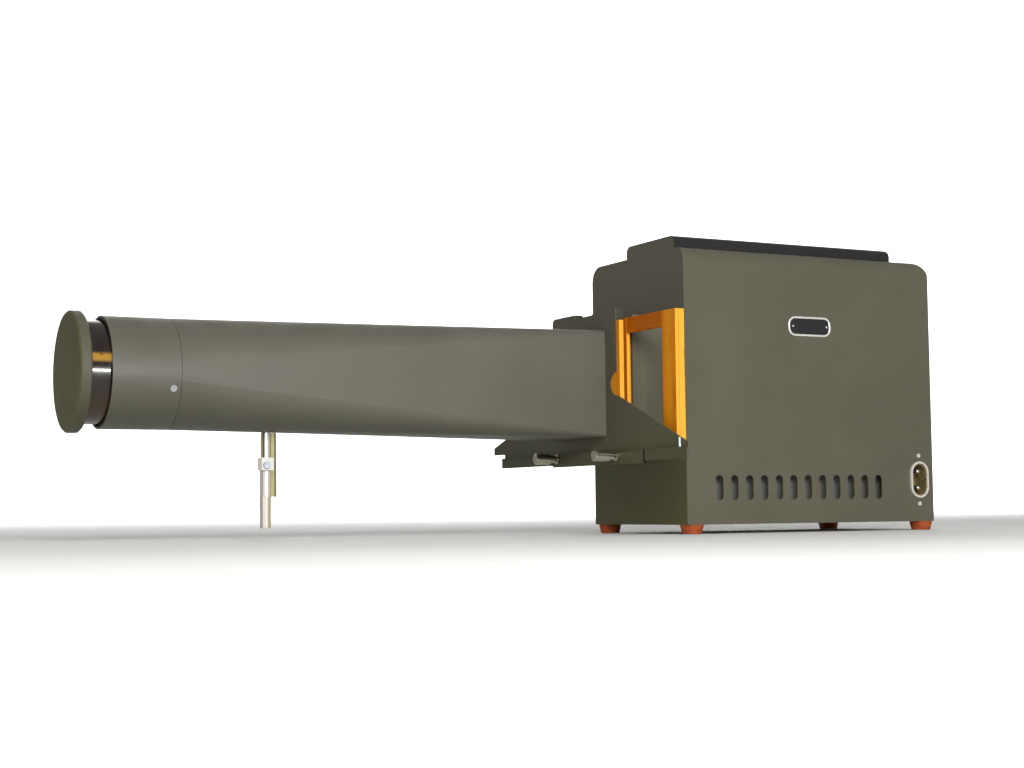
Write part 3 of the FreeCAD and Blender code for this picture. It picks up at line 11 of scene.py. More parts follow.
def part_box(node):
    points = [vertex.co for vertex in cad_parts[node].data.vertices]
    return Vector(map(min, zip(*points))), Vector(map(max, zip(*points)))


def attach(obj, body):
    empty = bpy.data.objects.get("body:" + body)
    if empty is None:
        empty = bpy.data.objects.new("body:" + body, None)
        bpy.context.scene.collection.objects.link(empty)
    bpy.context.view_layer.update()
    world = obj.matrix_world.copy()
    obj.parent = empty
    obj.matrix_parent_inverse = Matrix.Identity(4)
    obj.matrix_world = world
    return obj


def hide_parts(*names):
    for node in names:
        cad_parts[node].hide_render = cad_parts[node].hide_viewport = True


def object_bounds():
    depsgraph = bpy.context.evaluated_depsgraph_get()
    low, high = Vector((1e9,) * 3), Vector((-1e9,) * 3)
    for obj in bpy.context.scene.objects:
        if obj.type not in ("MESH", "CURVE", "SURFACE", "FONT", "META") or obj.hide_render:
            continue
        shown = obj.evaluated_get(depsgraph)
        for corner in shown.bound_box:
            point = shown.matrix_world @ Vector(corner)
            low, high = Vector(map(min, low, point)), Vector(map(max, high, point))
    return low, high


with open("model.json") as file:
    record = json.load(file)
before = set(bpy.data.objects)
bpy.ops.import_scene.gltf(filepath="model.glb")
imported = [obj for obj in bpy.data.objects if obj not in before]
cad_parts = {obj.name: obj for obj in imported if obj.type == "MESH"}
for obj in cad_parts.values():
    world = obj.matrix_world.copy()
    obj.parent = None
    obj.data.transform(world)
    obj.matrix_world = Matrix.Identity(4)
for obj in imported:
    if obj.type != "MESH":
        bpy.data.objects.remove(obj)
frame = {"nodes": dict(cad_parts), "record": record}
CAD_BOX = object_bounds()
NODES = frame["nodes"]
SLOTS = {entry["node"]: entry["material_slot"] for entry in frame["record"]["subparts"]}
SAME_LEVEL = 0.0002  # corners closer together than this are at one level
# The camera was fitted to the straight edges of the lamp house in the reference.
CAMERA_HEADING = math.radians(27.318)
CAMERA_TILT = math.radians(4.101)
CAMERA_ROLL = math.radians(-0.632)
CAMERA_FROM_HOUSE = Vector((-1.0137, -1.5585, 0.0199))
# round plated parts get painted reflections and light that follow the direction below
ACROSS_VIEW = (0.889, -0.459, 0.0)  # the level direction across that view
UNSHADED_TIP = -0.2  # on the near side of this Y the end faces of the stage's bars get no painted shade


# ---------------------------------------------------------------- places read from the frame
def levels(node, axis):
    """The different heights along one axis at which a flat-sided CAD node has corners."""
    found = []
    for value in sorted(vertex.co[axis] for vertex in NODES[node].data.vertices):
        if not found or value - found[-1] > SAME_LEVEL:
            found.append(value)
    return found


def middle(node):
    low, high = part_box(node)
    return (low + high) / 2


# ---------------------------------------------------------------- node materials
class Finish:
    """One node material around a Principled shader, with helpers that add and link nodes."""

    def __init__(self, name, **constants):
        self.material = bpy.data.materials.new(name)
        self.material.use_nodes = True
        self.tree = self.material.node_tree
        self.shader = self.tree.nodes["Principled BSDF"]
        self.place = self.add("ShaderNodeTexCoord").outputs["Object"]
        for socket, value in constants.items():
            self.shader.inputs[socket.replace("_", " ")].default_value = value

    def add(self, kind, **settings):
        node = self.tree.nodes.new(kind)
        for key, value in settings.items():
            setattr(node, key, value)
        return node

    def feed(self, node, **values):
        """Links or sets inputs by name; an underscore stands for a space."""
        for name, value in values.items():
            socket = node.inputs[name.replace("_", " ")]
            if isinstance(value, bpy.types.NodeSocket):
                self.tree.links.new(value, socket)
            else:
                socket.default_value = value
        return node

    def stretch(self, scale, turn=(0, 0, 0)):
        """Object coordinates scaled along each axis, for long or flat patterns."""
        node = self.add("ShaderNodeMapping")
        self.feed(node, Vector=self.place, Scale=scale, Rotation=turn)
        return node.outputs["Vector"]

    def noise(self, scale, detail=4.0, roughness=0.55, distortion=0.0, vector=None):
        node = self.add("ShaderNodeTexNoise")
        self.feed(
            node,
            Vector=vector or self.place,
            Scale=scale,
            Detail=detail,
            Roughness=roughness,
            Distortion=distortion,
        )
        return node.outputs["Fac"]

    def level(self, value, low, high, to_low=0.0, to_high=1.0):
        """A soft step from one value to another as the input goes from low to high."""
        node = self.add("ShaderNodeMapRange", interpolation_type="SMOOTHSTEP")
        names = {"From_Min": low, "From_Max": high, "To_Min": to_low, "To_Max": to_high}
        self.feed(node, Value=value, **names)
        return node.outputs["Result"]

    def sums(self, operation, first, second):
        """Arithmetic on two inputs, each a socket or a number."""
        node = self.add("ShaderNodeMath", operation=operation)
        for socket, value in zip(node.inputs, (first, second)):
            if isinstance(value, bpy.types.NodeSocket):
                self.tree.links.new(value, socket)
            else:
                socket.default_value = value
        return node.outputs["Value"]

    def tint(self, share, first, second):
        """A mix of two colours; a share of 1 gives the second."""
        node = self.add("ShaderNodeMix", data_type="RGBA")
        for socket, value in ((node.inputs[0], share), (node.inputs[6], first), (node.inputs[7], second)):
            if isinstance(value, bpy.types.NodeSocket):
                self.tree.links.new(value, socket)
            else:
                socket.default_value = value if isinstance(value, float) else (*value, 1.0)
        return node.outputs[2]

    def bump(self, height, distance, strength=1.0, below=None):
        node = self.add("ShaderNodeBump")
        self.feed(node, Height=height, Distance=distance, Strength=strength)
        if below is not None:
            self.tree.links.new(below, node.inputs["Normal"])
        return node.outputs["Normal"]

    def facing(self, axis):
        """How far the surface faces along one axis, from -1 to 1."""
        split = self.add("ShaderNodeSeparateXYZ")
        self.feed(split, Vector=self.add("ShaderNodeNewGeometry").outputs["Normal"])
        return split.outputs[axis]

    def towards(self, direction):
        """How far the surface faces a fixed direction of the frame, from -1 to 1."""
        node = self.add("ShaderNodeVectorMath", operation="DOT_PRODUCT")
        self.tree.links.new(self.add("ShaderNodeNewGeometry").outputs["Normal"], node.inputs[0])
        node.inputs[1].default_value = direction
        return node.outputs["Value"]

    def band(self, value, low, high, soft):
        """1 between two values and 0 outside them, with soft ends."""
        rise = self.level(value, low - soft, low + soft)
        fall = self.level(value, high - soft, high + soft, 1.0, 0.0)
        return self.sums("MULTIPLY", rise, fall)

    def share(self, value, low, high):
        """How far a value is from one end to the other, evenly."""
        node = self.add("ShaderNodeMapRange")
        self.feed(node, Value=value, From_Min=low, From_Max=high)
        return node.outputs["Result"]

    def ramp(self, value, stops):
        """Colours mixed between stops, which stand at places from -1 to 1."""
        node = self.add("ShaderNodeValToRGB")
        self.tree.links.new(self.share(value, -1.0, 1.0), node.inputs["Fac"])
        points = node.color_ramp.elements
        while len(points) < len(stops):
            points.new(0.5)
        for point, (place, colour) in zip(points, stops):
            point.position = (place + 1.0) / 2.0
            point.color = (*colour, 1.0)
        return node.outputs["Color"]

    def along(self, axis):
        """Place along one axis of the frame."""
        split = self.add("ShaderNodeSeparateXYZ")
        self.feed(split, Vector=self.place)
        return split.outputs[axis]

    def corners(self, radius):
        """1 on edges and corners, 0 on flat surfaces."""
        round_normal = self.add("ShaderNodeBevel", samples=4)
        self.feed(round_normal, Radius=radius)
        compare = self.add("ShaderNodeVectorMath", operation="DOT_PRODUCT")
        self.tree.links.new(round_normal.outputs["Normal"], compare.inputs[0])
        self.tree.links.new(self.add("ShaderNodeNewGeometry").outputs["Normal"], compare.inputs[1])
        return self.level(compare.outputs["Value"], 0.99, 0.86)

    def finish(self, colour, roughness=None, normal=None):
        """Links the worked-out sockets to the shader and gives the material."""
        sockets = {"Base Color": colour, "Roughness": roughness, "Normal": normal}
        for name, value in sockets.items():
            if value is not None:
                self.tree.links.new(value, self.shader.inputs[name])
        return self.material


def shade(colour, factor):
    return tuple(min(1.0, part * factor) for part in colour)


def paint(name, colour, roughness=0.5, specular=0.45, shaded_ends=0.0, end_shade_top=0.15):
    """Sprayed satin paint: orange peel, smudges, dust on top, painted shade below and rubbed edges.

    The low faces towards the lens get a browner painted shade below a given height, and a given share of
    painted shade, near black, darkens the end faces of the stage's bars beyond their near tips.
    """
    finish = Finish(name, Specular_IOR_Level=specular)
    smudges = finish.noise(9.0, detail=6.0, roughness=0.62)
    speckle = finish.noise(1400.0, detail=2.0)
    tone = finish.tint(finish.level(smudges, 0.3, 0.7), shade(colour, 0.93), shade(colour, 1.06))
    fleck = finish.sums("MULTIPLY", finish.level(speckle, 0.5, 0.8), 0.35)
    tone = finish.tint(fleck, tone, shade(colour, 1.35))
    dust = finish.sums("MULTIPLY", finish.level(finish.facing("Z"), 0.55, 1.0), 0.16)
    dust = finish.sums("MULTIPLY", dust, finish.level(finish.noise(38.0, detail=5.0), 0.3, 0.75))
    tone = finish.tint(dust, tone, (0.34, 0.32, 0.28))
    # painted shade: faces that look down turn darker and more olive
    underside_shade = finish.level(finish.facing("Z"), -0.2, -0.85, 0.0, 0.5)
    tone = finish.tint(underside_shade, tone, (colour[0] * 0.45, colour[1] * 0.47, colour[2] * 0.3))
    # painted shade: low faces towards the lens turn browner
    end_side = finish.level(finish.facing("X"), -0.4, -0.9)
    low_end_shade = finish.sums("MULTIPLY", end_side, finish.level(finish.along("Z"), end_shade_top, end_shade_top - 0.11))
    tone = finish.tint(low_end_shade, tone, (colour[0] * 0.94, colour[1] * 0.93, colour[2] * 0.4))
    patches = finish.level(finish.noise(140.0, detail=4.0), 0.45, 0.62)
    rub = finish.sums("MULTIPLY", finish.corners(0.0007), patches)
    tone = finish.tint(finish.sums("MULTIPLY", rub, 0.3), tone, shade(colour, 1.7))
    # painted shade: end faces of the stage's bars beyond their near tips turn towards black
    if shaded_ends:
        ends = finish.level(finish.sums("ABSOLUTE", finish.facing("Y"), 0.0), 0.75, 0.9, 0.0, shaded_ends)
        inner = finish.level(finish.along("Y"), UNSHADED_TIP - 0.005, UNSHADED_TIP)
        tone = finish.tint(finish.sums("MULTIPLY", ends, inner), tone, (0.003, 0.003, 0.003))
    scratches = finish.noise(60.0, detail=2.0, vector=finish.stretch((1.0, 1.0, 26.0), (0.3, 0.2, 0.1)))
    gloss = finish.level(smudges, 0.25, 0.75, roughness - 0.05, roughness + 0.06)
    gloss = finish.sums("SUBTRACT", gloss, finish.sums("MULTIPLY", finish.level(scratches, 0.7, 0.78), 0.12))
    peel = finish.bump(finish.noise(820.0, detail=3.0, roughness=0.6), 0.00005, 0.6)
    waves = finish.bump(finish.noise(26.0, detail=2.0), 0.0006, 0.12, peel)
    return finish.finish(tone, gloss, waves)


def enamel(name, colour, roughness):
    """Black enamel with faint dust and hairline scratches."""
    finish = Finish(name, Specular_IOR_Level=0.5, Coat_Weight=0.25, Coat_Roughness=0.2)
    dust = finish.level(finish.noise(55.0, detail=7.0, roughness=0.7), 0.45, 0.8)
    up = finish.level(finish.facing("Z"), 0.2, 1.0)
    share = finish.sums("MULTIPLY", finish.sums("MULTIPLY", dust, up), 0.12)
    tone = finish.tint(share, colour, (0.22, 0.21, 0.2))
    rub = finish.sums("MULTIPLY", finish.corners(0.0008), 0.5)
    tone = finish.tint(rub, tone, shade(colour, 5.0))
    hair = finish.noise(70.0, detail=3.0, vector=finish.stretch((30.0, 1.0, 1.0)))
    gloss = finish.level(hair, 0.35, 0.7, roughness - 0.06, roughness + 0.08)
    return finish.finish(tone, gloss, finish.bump(finish.noise(900.0, detail=2.0), 0.00002, 0.5))


def turned_metal(name, colour, roughness, stretch, rings=0.00001, metallic=1.0):
    """Plated or bright metal with tool rings across the stretched axis and light tarnish."""
    finish = Finish(name, Metallic=metallic)
    stain = finish.level(finish.noise(120.0, detail=6.0, roughness=0.68), 0.5, 0.78)
    tone = finish.tint(finish.sums("MULTIPLY", stain, 0.4), colour, shade(colour, 0.62))
    edge = finish.sums("MULTIPLY", finish.corners(0.0005), 0.3)
    tone = finish.tint(edge, tone, (0.63, 0.54, 0.40))
    lines = finish.noise(150.0, detail=2.0, vector=finish.stretch(stretch))
    gloss = finish.level(lines, 0.3, 0.7, roughness * 0.7, roughness * 1.5)
    return finish.finish(tone, gloss, finish.bump(lines, rings, 0.5))


def reflection_banded_metal(name, stops, metallic, roughness):
    """Polished round metal with painted reflections and highlights in upright bands, under haze and fine
    rubbing marks.
    """
    finish = Finish(name, Metallic=metallic, Specular_IOR_Level=0.6)
    # painted reflections: the colour follows how far each face turns across the view
    tone = finish.ramp(finish.towards(ACROSS_VIEW), stops)
    haze = finish.level(finish.noise(300.0, detail=5.0, roughness=0.65), 0.45, 0.8)
    tone = finish.tint(finish.sums("MULTIPLY", haze, 0.12), tone, (0.5, 0.46, 0.38))
    lines = finish.noise(240.0, detail=2.0, vector=finish.stretch((1.0, 1.0, 16.0)))
    gloss = finish.level(lines, 0.3, 0.7, roughness * 0.7, roughness * 1.4)
    return finish.finish(tone, gloss, finish.bump(lines, 0.000006, 0.4))


def stepped_bar(name, step):
    """Khaki strip metal, with painted light on its faces towards the lens and painted shade, near black,
    beyond the step in its near side.
    """
    finish = Finish(name, Metallic=0.3, Specular_IOR_Level=0.5)
    cloud = finish.level(finish.noise(150.0, detail=5.0, roughness=0.65), 0.35, 0.75)
    pale = finish.tint(cloud, (0.37, 0.34, 0.145), (0.28, 0.25, 0.10))
    # painted light: faces towards the lens turn pale khaki
    side = finish.level(finish.facing("X"), -0.5, -0.8)
    pale = finish.tint(side, pale, (0.62, 0.58, 0.32))
    # painted shade: near black beyond the step
    beyond = finish.level(finish.along("X"), step - 0.0002, step + 0.0002)
    tone = finish.tint(beyond, pale, (0.03, 0.024, 0.01))
    lines = finish.noise(200.0, detail=2.0, vector=finish.stretch((1.0, 1.0, 16.0)))
    return finish.finish(tone, finish.level(cloud, 0.0, 1.0, 0.28, 0.42), finish.bump(lines, 0.00001, 0.5))


def lacquered_barrel(name):
    """Near-black lens lacquer with painted reflections: brown brass in one band on the near side, browner
    underneath.
    """
    finish = Finish(name, Specular_IOR_Level=0.5, Coat_Weight=0.2, Coat_Roughness=0.06)
    cloud = finish.noise(70.0, detail=5.0, roughness=0.6)
    tone = finish.tint(finish.level(cloud, 0.35, 0.7), (0.010, 0.007, 0.006), (0.022, 0.014, 0.010))
    # painted reflection: browner on the underside
    under = finish.level(finish.facing("Z"), -0.3, -0.7)
    tone = finish.tint(under, tone, (0.030, 0.016, 0.003))
    # painted reflection, not wear: a brown brass colour in one band on the near side
    near_side = finish.level(finish.facing("Y"), -0.3, -0.6)
    worn = finish.sums("MULTIPLY", near_side, finish.band(finish.facing("Z"), 0.14, 0.29, 0.04))
    patch = finish.level(finish.noise(120.0, detail=4.0), 0.2, 0.42, 0.0, 0.85)
    tone = finish.tint(finish.sums("MULTIPLY", worn, patch), tone, (0.42, 0.22, 0.025))
    hair = finish.noise(90.0, detail=3.0, vector=finish.stretch((40.0, 1.0, 1.0)))
    gloss = finish.level(hair, 0.3, 0.7, 0.1, 0.2)
    return finish.finish(tone, gloss, finish.bump(hair, 0.00001, 0.5))


def wood(name, stretch, shaded_pair, lit_pair):
    """Varnished beech: long fibres, dark pores and rays under a clear orange coat, in painted light and
    shade.
    """
    finish = Finish(name, Coat_Weight=0.06, Coat_Roughness=0.16, Coat_IOR=1.5, Specular_IOR_Level=0.06)
    deep = shaded_pair[1]
    fibres = finish.noise(95.0, detail=8.0, roughness=0.66, distortion=0.6, vector=finish.stretch(stretch))
    bands = finish.noise(16.0, detail=3.0, distortion=1.2, vector=finish.stretch(stretch))
    face = finish.tint(finish.level(bands, 0.3, 0.7), *shaded_pair)
    edge = finish.tint(finish.level(bands, 0.3, 0.7), *lit_pair)
    # painted light and shade: faces looking along Y take the lit colours, the rest the shaded ones
    side = finish.level(finish.sums("ABSOLUTE", finish.facing("Y"), 0.0), 0.6, 0.9)
    tone = finish.tint(side, face, edge)
    streak = finish.sums("MULTIPLY", finish.level(fibres, 0.5, 0.78), 0.3)
    tone = finish.tint(streak, tone, shade(deep, 0.8))
    specks = finish.noise(900.0, detail=1.0, vector=finish.stretch(finer(stretch)))
    pores = finish.level(specks, 0.66, 0.74)
    tone = finish.tint(finish.sums("MULTIPLY", pores, 0.4), tone, shade(deep, 0.4))
    worn = finish.sums("MULTIPLY", finish.corners(0.0006), 0.3)
    tone = finish.tint(worn, tone, shade(deep, 0.5))
    gloss = finish.level(finish.noise(40.0, detail=5.0), 0.3, 0.7, 0.3, 0.46)
    relief = finish.bump(finish.sums("SUBTRACT", fibres, pores), 0.00012, 0.5)
    return finish.finish(tone, gloss, relief)


def finer(stretch):
    """A finer version of a grain direction, for pores."""
    return tuple(0.25 * part if part > 0.5 else part * 0.5 for part in stretch)


def rubber(name, colour):
    """Old moulded rubber: matt, blotchy, slightly pitted and paler where it is worn."""
    finish = Finish(name, Specular_IOR_Level=0.3)
    blotches = finish.level(finish.noise(180.0, detail=6.0, roughness=0.65), 0.35, 0.7)
    tone = finish.tint(blotches, shade(colour, 0.7), shade(colour, 1.2))
    wear = finish.sums("MULTIPLY", finish.corners(0.0012), 0.5)
    tone = finish.tint(wear, tone, shade(colour, 1.7))
    gloss = finish.level(blotches, 0.0, 1.0, 0.62, 0.82)
    pits = finish.bump(finish.noise(1500.0, detail=3.0), 0.00008, 0.7)
    return finish.finish(tone, gloss, pits)


def moulded(name, colour, roughness=0.35):
    """Moulded insulating resin or glazed ceramic."""
    finish = Finish(name, Specular_IOR_Level=0.5)
    swirl = finish.level(finish.noise(160.0, detail=5.0, distortion=1.5), 0.35, 0.7)
    tone = finish.tint(swirl, shade(colour, 0.8), shade(colour, 1.25))
    gloss = finish.level(swirl, 0.0, 1.0, roughness - 0.08, roughness + 0.1)
    return finish.finish(tone, gloss, finish.bump(finish.noise(700.0, detail=2.0), 0.00003, 0.5))


def cast_metal(name, colour):
    """Rough painted casting."""
    finish = Finish(name, Specular_IOR_Level=0.3)
    lumps = finish.noise(260.0, detail=5.0, roughness=0.6)
    tone = finish.tint(finish.level(lumps, 0.3, 0.75), shade(colour, 0.7), shade(colour, 1.3))
    return finish.finish(tone, finish.level(lumps, 0.3, 0.7, 0.6, 0.8), finish.bump(lumps, 0.0004, 0.6))


def glass(name, tint_colour, coat=0.0):
    """Clear optical glass with a trace of dust."""
    finish = Finish(name, Transmission_Weight=1.0, IOR=1.52, Coat_Weight=coat)
    dust = finish.level(finish.noise(220.0, detail=6.0, roughness=0.7), 0.62, 0.8)
    tone = finish.tint(finish.sums("MULTIPLY", dust, 0.12), tint_colour, (0.75, 0.74, 0.7))
    return finish.finish(tone, finish.level(dust, 0.0, 1.0, 0.01, 0.09))


def felt(name, colour):
    """Short black pile."""
    finish = Finish(name, Sheen_Weight=0.6, Sheen_Roughness=0.5, Specular_IOR_Level=0.1)
    pile = finish.noise(2600.0, detail=3.0)
    tone = finish.tint(finish.level(pile, 0.3, 0.7), shade(colour, 0.6), shade(colour, 1.8))
    return finish.finish(tone, finish.level(pile, 0.2, 0.8, 0.85, 1.0), finish.bump(pile, 0.0003, 0.8))


OLIVE_HOUSE = (0.088, 0.083, 0.057)
OLIVE_TUBE = (0.093, 0.090, 0.070)
BLACK = (0.010, 0.010, 0.012)
# painted light and shade on the wood: shaded colours for faces not looking along Y, darker on the rails, lit
# colours for those that do
WOOD_SHADED_FACES = ((0.66, 0.25, 0.009), (0.54, 0.15, 0.002))
WOOD_SHADED_RAILS = ((0.42, 0.115, 0.002), (0.33, 0.070, 0.001))
WOOD_LIT_SIDES = ((0.88, 0.41, 0.050), (0.80, 0.34, 0.030))
NICKEL = (0.88, 0.87, 0.82)
GRAIN_UP = (1.0, 1.0, 0.07)
GRAIN_ACROSS = (1.0, 0.07, 1.0)

MATERIALS = {
    "house_paint": paint("house paint", OLIVE_HOUSE),
    "tube_paint": paint("tube paint", OLIVE_TUBE, roughness=0.46),
    "black_enamel": enamel("black enamel", BLACK, 0.38),
    "gloss_black": enamel("gloss black", shade(BLACK, 0.8), 0.16),
    "varnished_wood": wood("varnished wood upright", GRAIN_UP, WOOD_SHADED_FACES, WOOD_LIT_SIDES),
    "foot_rubber": rubber("foot rubber", (0.33, 0.066, 0.015)),
    "nickel": turned_metal("nickel", NICKEL, 0.28, (1.0, 1.0, 20.0), metallic=0.6),
    "bright_steel": turned_metal("bright steel", (0.55, 0.54, 0.51), 0.3, (1.0, 20.0, 20.0)),
    "cast_base": cast_metal("cast base", (0.06, 0.058, 0.05)),
    "alloy": turned_metal("alloy", (0.72, 0.72, 0.7), 0.34, (1.0, 1.0, 20.0)),
    "brass_parts": turned_metal("brass", (0.66, 0.45, 0.16), 0.28, (20.0, 1.0, 1.0)),
    "lens_glass": glass("lens glass", (0.97, 0.99, 0.98), 0.3),
    "bulb_glass": glass("bulb glass", (0.98, 0.98, 0.97)),
    "mirror_silver": turned_metal("mirror", (0.9, 0.9, 0.91), 0.04, (1.0, 1.0, 1.0), 0.0),
    "moulded_brown": moulded("moulded resin", (0.15, 0.115, 0.05)),
    "ceramic_white": moulded("ceramic", (0.72, 0.7, 0.64), 0.2),
    "felt_black": felt("felt", (0.012, 0.012, 0.012)),
    "core_steel": turned_metal("laminations", (0.25, 0.24, 0.23), 0.5, (1.0, 30.0, 1.0), 0.0002),
    "coil_copper": turned_metal("winding", (0.5, 0.2, 0.07), 0.35, (1.0, 1.0, 14.0), 0.0004),
    "lead_cover": moulded("lead cover", (0.02, 0.02, 0.02), 0.6),
}
WOOD_ACROSS = wood("varnished wood across", GRAIN_ACROSS, WOOD_SHADED_RAILS, WOOD_LIT_SIDES)


# painted reflections and highlights on the leg's plated rod, stem and tip
ROD_REFLECTIONS = [
    (-1.0, (0.04, 0.035, 0.025)),
    (-0.82, (0.10, 0.07, 0.02)),
    (-0.65, (0.50, 0.34, 0.09)),
    (-0.42, (0.44, 0.30, 0.08)),
    (-0.28, (0.04, 0.045, 0.07)),
    (-0.10, (0.08, 0.08, 0.11)),
    (0.02, (0.92, 0.92, 0.97)),
    (0.60, (0.90, 0.88, 0.86)),
    (1.0, (0.86, 0.74, 0.66)),
]
STEM_REFLECTIONS = [
    (-1.0, (0.40, 0.34, 0.28)),
    (-0.7, (0.86, 0.74, 0.62)),
    (-0.4, (0.34, 0.28, 0.24)),
    (-0.2, (0.86, 0.84, 0.86)),
    (0.6, (0.80, 0.76, 0.72)),
    (1.0, (0.70, 0.58, 0.42)),
]
TIP_REFLECTIONS = [
    (-1.0, (0.50, 0.45, 0.42)),
    (-0.4, (0.44, 0.38, 0.35)),
    (-0.2, (0.90, 0.88, 0.86)),
    (0.2, (0.60, 0.57, 0.47)),
    (0.7, (0.52, 0.49, 0.37)),
    (1.0, (0.50, 0.34, 0.18)),
]
# painted light and shade on the leg's clamp: faces towards the lens end near white, the far faces grey
CLAMP_LIGHT_AND_SHADE = [
    (-1.0, (0.98, 0.96, 0.86)),
    (-0.6, (0.90, 0.88, 0.78)),
    (0.2, (0.60, 0.62, 0.60)),
    (1.0, (0.50, 0.50, 0.50)),
]
LEG_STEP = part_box("leg_bar")[0].x + 0.0035
STAGE_OLIVE = shade(OLIVE_HOUSE, 0.9)
RAIL_OLIVE = shade(OLIVE_HOUSE, 0.78)
DULL_NICKEL = turned_metal("dull nickel", (0.50, 0.48, 0.38), 0.13, (20.0, 1.0, 1.0))
OWN_FINISH = {
    # the cap's face gets the browner painted shade all over
    "lens_cap": paint("cap paint", (0.082, 0.081, 0.056), specular=0.25, end_shade_top=0.33),
    "stage_plate": paint("stage paint", STAGE_OLIVE),
    # painted shade on the bars' end faces beyond their near tips
    "stage_top_bar": paint("bar paint", STAGE_OLIVE, shaded_ends=0.55),
    # a lighter copy of the house paint: painted light on the housing, which stands back in the changer's
    # window
    "condenser_housing": paint("housing paint with painted light", shade(OLIVE_HOUSE, 1.2)),
    "stage_rail_bar": paint("rail paint", RAIL_OLIVE, shaded_ends=1.0),
    "rail_end_blocks": paint("rail end paint", RAIL_OLIVE, shaded_ends=1.0),
    "changer_channel": paint("channel paint", RAIL_OLIVE),
    "clamp_screw_near": DULL_NICKEL,
    "clamp_screw_far": DULL_NICKEL,
    "lens_barrel": lacquered_barrel("barrel lacquer"),
    "leg_rod": reflection_banded_metal("leg rod plating, painted reflections", ROD_REFLECTIONS, 0.45, 0.14),
    "leg_stem": reflection_banded_metal("leg stem plating, painted reflections", STEM_REFLECTIONS, 0.45, 0.16),
    "leg_tip": reflection_banded_metal("leg tip plating, painted reflections", TIP_REFLECTIONS, 0.35, 0.22),
    "leg_bar": stepped_bar("leg bar plating", LEG_STEP),
    "leg_clamp": reflection_banded_metal("clamp plating, painted light", CLAMP_LIGHT_AND_SHADE, 0.1, 0.4),
    "sleeve_screws": turned_metal("screw plating", (0.42, 0.43, 0.44), 0.35, (1.0, 1.0, 20.0), metallic=0.5),
    "leg_screw": turned_metal("leg screw plating", (0.43, 0.47, 0.56), 0.35, (12.0, 1.0, 12.0), metallic=0.4),
    "changer_stops": turned_metal("stop plating", (0.46, 0.51, 0.53), 0.3, (1.0, 1.0, 20.0), metallic=0.6),
    "vent_baffle": paint("baffle paint", (0.125, 0.13, 0.12)),
}
EASED = {"inlet_rim": 0.001, "lens_cap": 0.0007, "badge": 0.0003, "tube_body": 0.0006}


# ---------------------------------------------------------------- pieces
def dress_nodes():
    """Every CAD node takes its own or its slot's finish, and its sharp edges are eased."""
    for name, node in NODES.items():
        node.data.materials.clear()
        node.data.materials.append(OWN_FINISH.get(name) or MATERIALS[SLOTS[name]])
        ease = node.modifiers.new("eased edges", "BEVEL")
        ease.width = EASED.get(name, 0.0004)
        ease.segments = 3
        ease.limit_method = "ANGLE"
        ease.angle_limit = math.radians(40)
        ease.harden_normals = False


def new_piece(name, mesh_builder, materials, body, nodes, bevel):
    """Makes an object from a bmesh, puts it on a body and lets it stand for CAD nodes."""
    mesh = bpy.data.meshes.new(name)
    shape = bmesh.new()
    mesh_builder(shape)
    bmesh.ops.recalc_face_normals(shape, faces=shape.faces)
    shape.to_mesh(mesh)
    shape.free()
    piece = bpy.data.objects.new(name, mesh)
    bpy.context.scene.collection.objects.link(piece)
    for material in materials:
        mesh.materials.append(material)
    if bevel:
        ease = piece.modifiers.new("eased edges", "BEVEL")
        ease.width = bevel
        ease.segments = 2
        ease.limit_method = "ANGLE"
        ease.angle_limit = math.radians(35)
    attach(piece, body)
    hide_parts(*nodes)
    return piece


def add_block(shape, low, high, material):
    """A closed box in a bmesh."""
    corners = [
        shape.verts.new((x, y, z))
        for x in (low[0], high[0])
        for y in (low[1], high[1])
        for z in (low[2], high[2])
    ]
    for ring in ((0, 1, 3, 2), (4, 6, 7, 5), (0, 4, 5, 1), (2, 3, 7, 6), (0, 2, 6, 4), (1, 5, 7, 3)):
        face = shape.faces.new([corners[index] for index in ring])
        face.material_index = material


def wooden_frame(name, node, body):
    """Stiles and rails with the grain along each member, around the windows of a CAD panel."""
    low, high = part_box(node)
    across = levels(node, 1)
    up = levels(node, 2)
    window_low, window_high = up[-3], up[-2]
    gap = 0.00012

    def build(shape):
        stiles = list(zip(across[0::2], across[1::2]))
        for start, end in stiles:
            add_block(shape, (low.x, start, low.z), (high.x, end, high.z), 0)
        for start, end in zip(across[1::2], across[2::2]):
            for bottom, top in ((low.z, window_low), (window_high, high.z)):
                add_block(shape, (low.x + gap, start + gap, bottom), (high.x - gap, end - gap, top), 1)

    materials = [MATERIALS["varnished_wood"], WOOD_ACROSS]
    return new_piece(name, build, materials, body, [node], bevel=0.0006)


def rounded_outline(half_length, half_tall, radius, steps=8):
    """Points around a rectangle with round corners, about the origin."""
    points = []
    for quarter, (across, up) in enumerate(((1, 1), (-1, 1), (-1, -1), (1, -1))):
        centre = (across * (half_length - radius), up * (half_tall - radius))
        for step in range(steps + 1):
            turn = math.radians(90 * quarter + 90 * step / steps)
            points.append((centre[0] + radius * math.cos(turn), centre[1] + radius * math.sin(turn)))
    return points


def add_layers(shape, centre, layers, material):
    """Outlines stacked towards the near side and closed by a last face; a layer is (outline, place)."""
    rows = [
        [shape.verts.new((centre[0] + across, place, centre[1] + up)) for across, up in outline]
        for outline, place in layers
    ]
    for below, above in zip(rows, rows[1:]):
        for index in range(len(below)):
            following = (index + 1) % len(below)
            face = shape.faces.new((below[index], below[following], above[following], above[index]))
            face.material_index = material
            face.smooth = True
    for row in (rows[0], rows[-1]):
        shape.faces.new(row).material_index = material


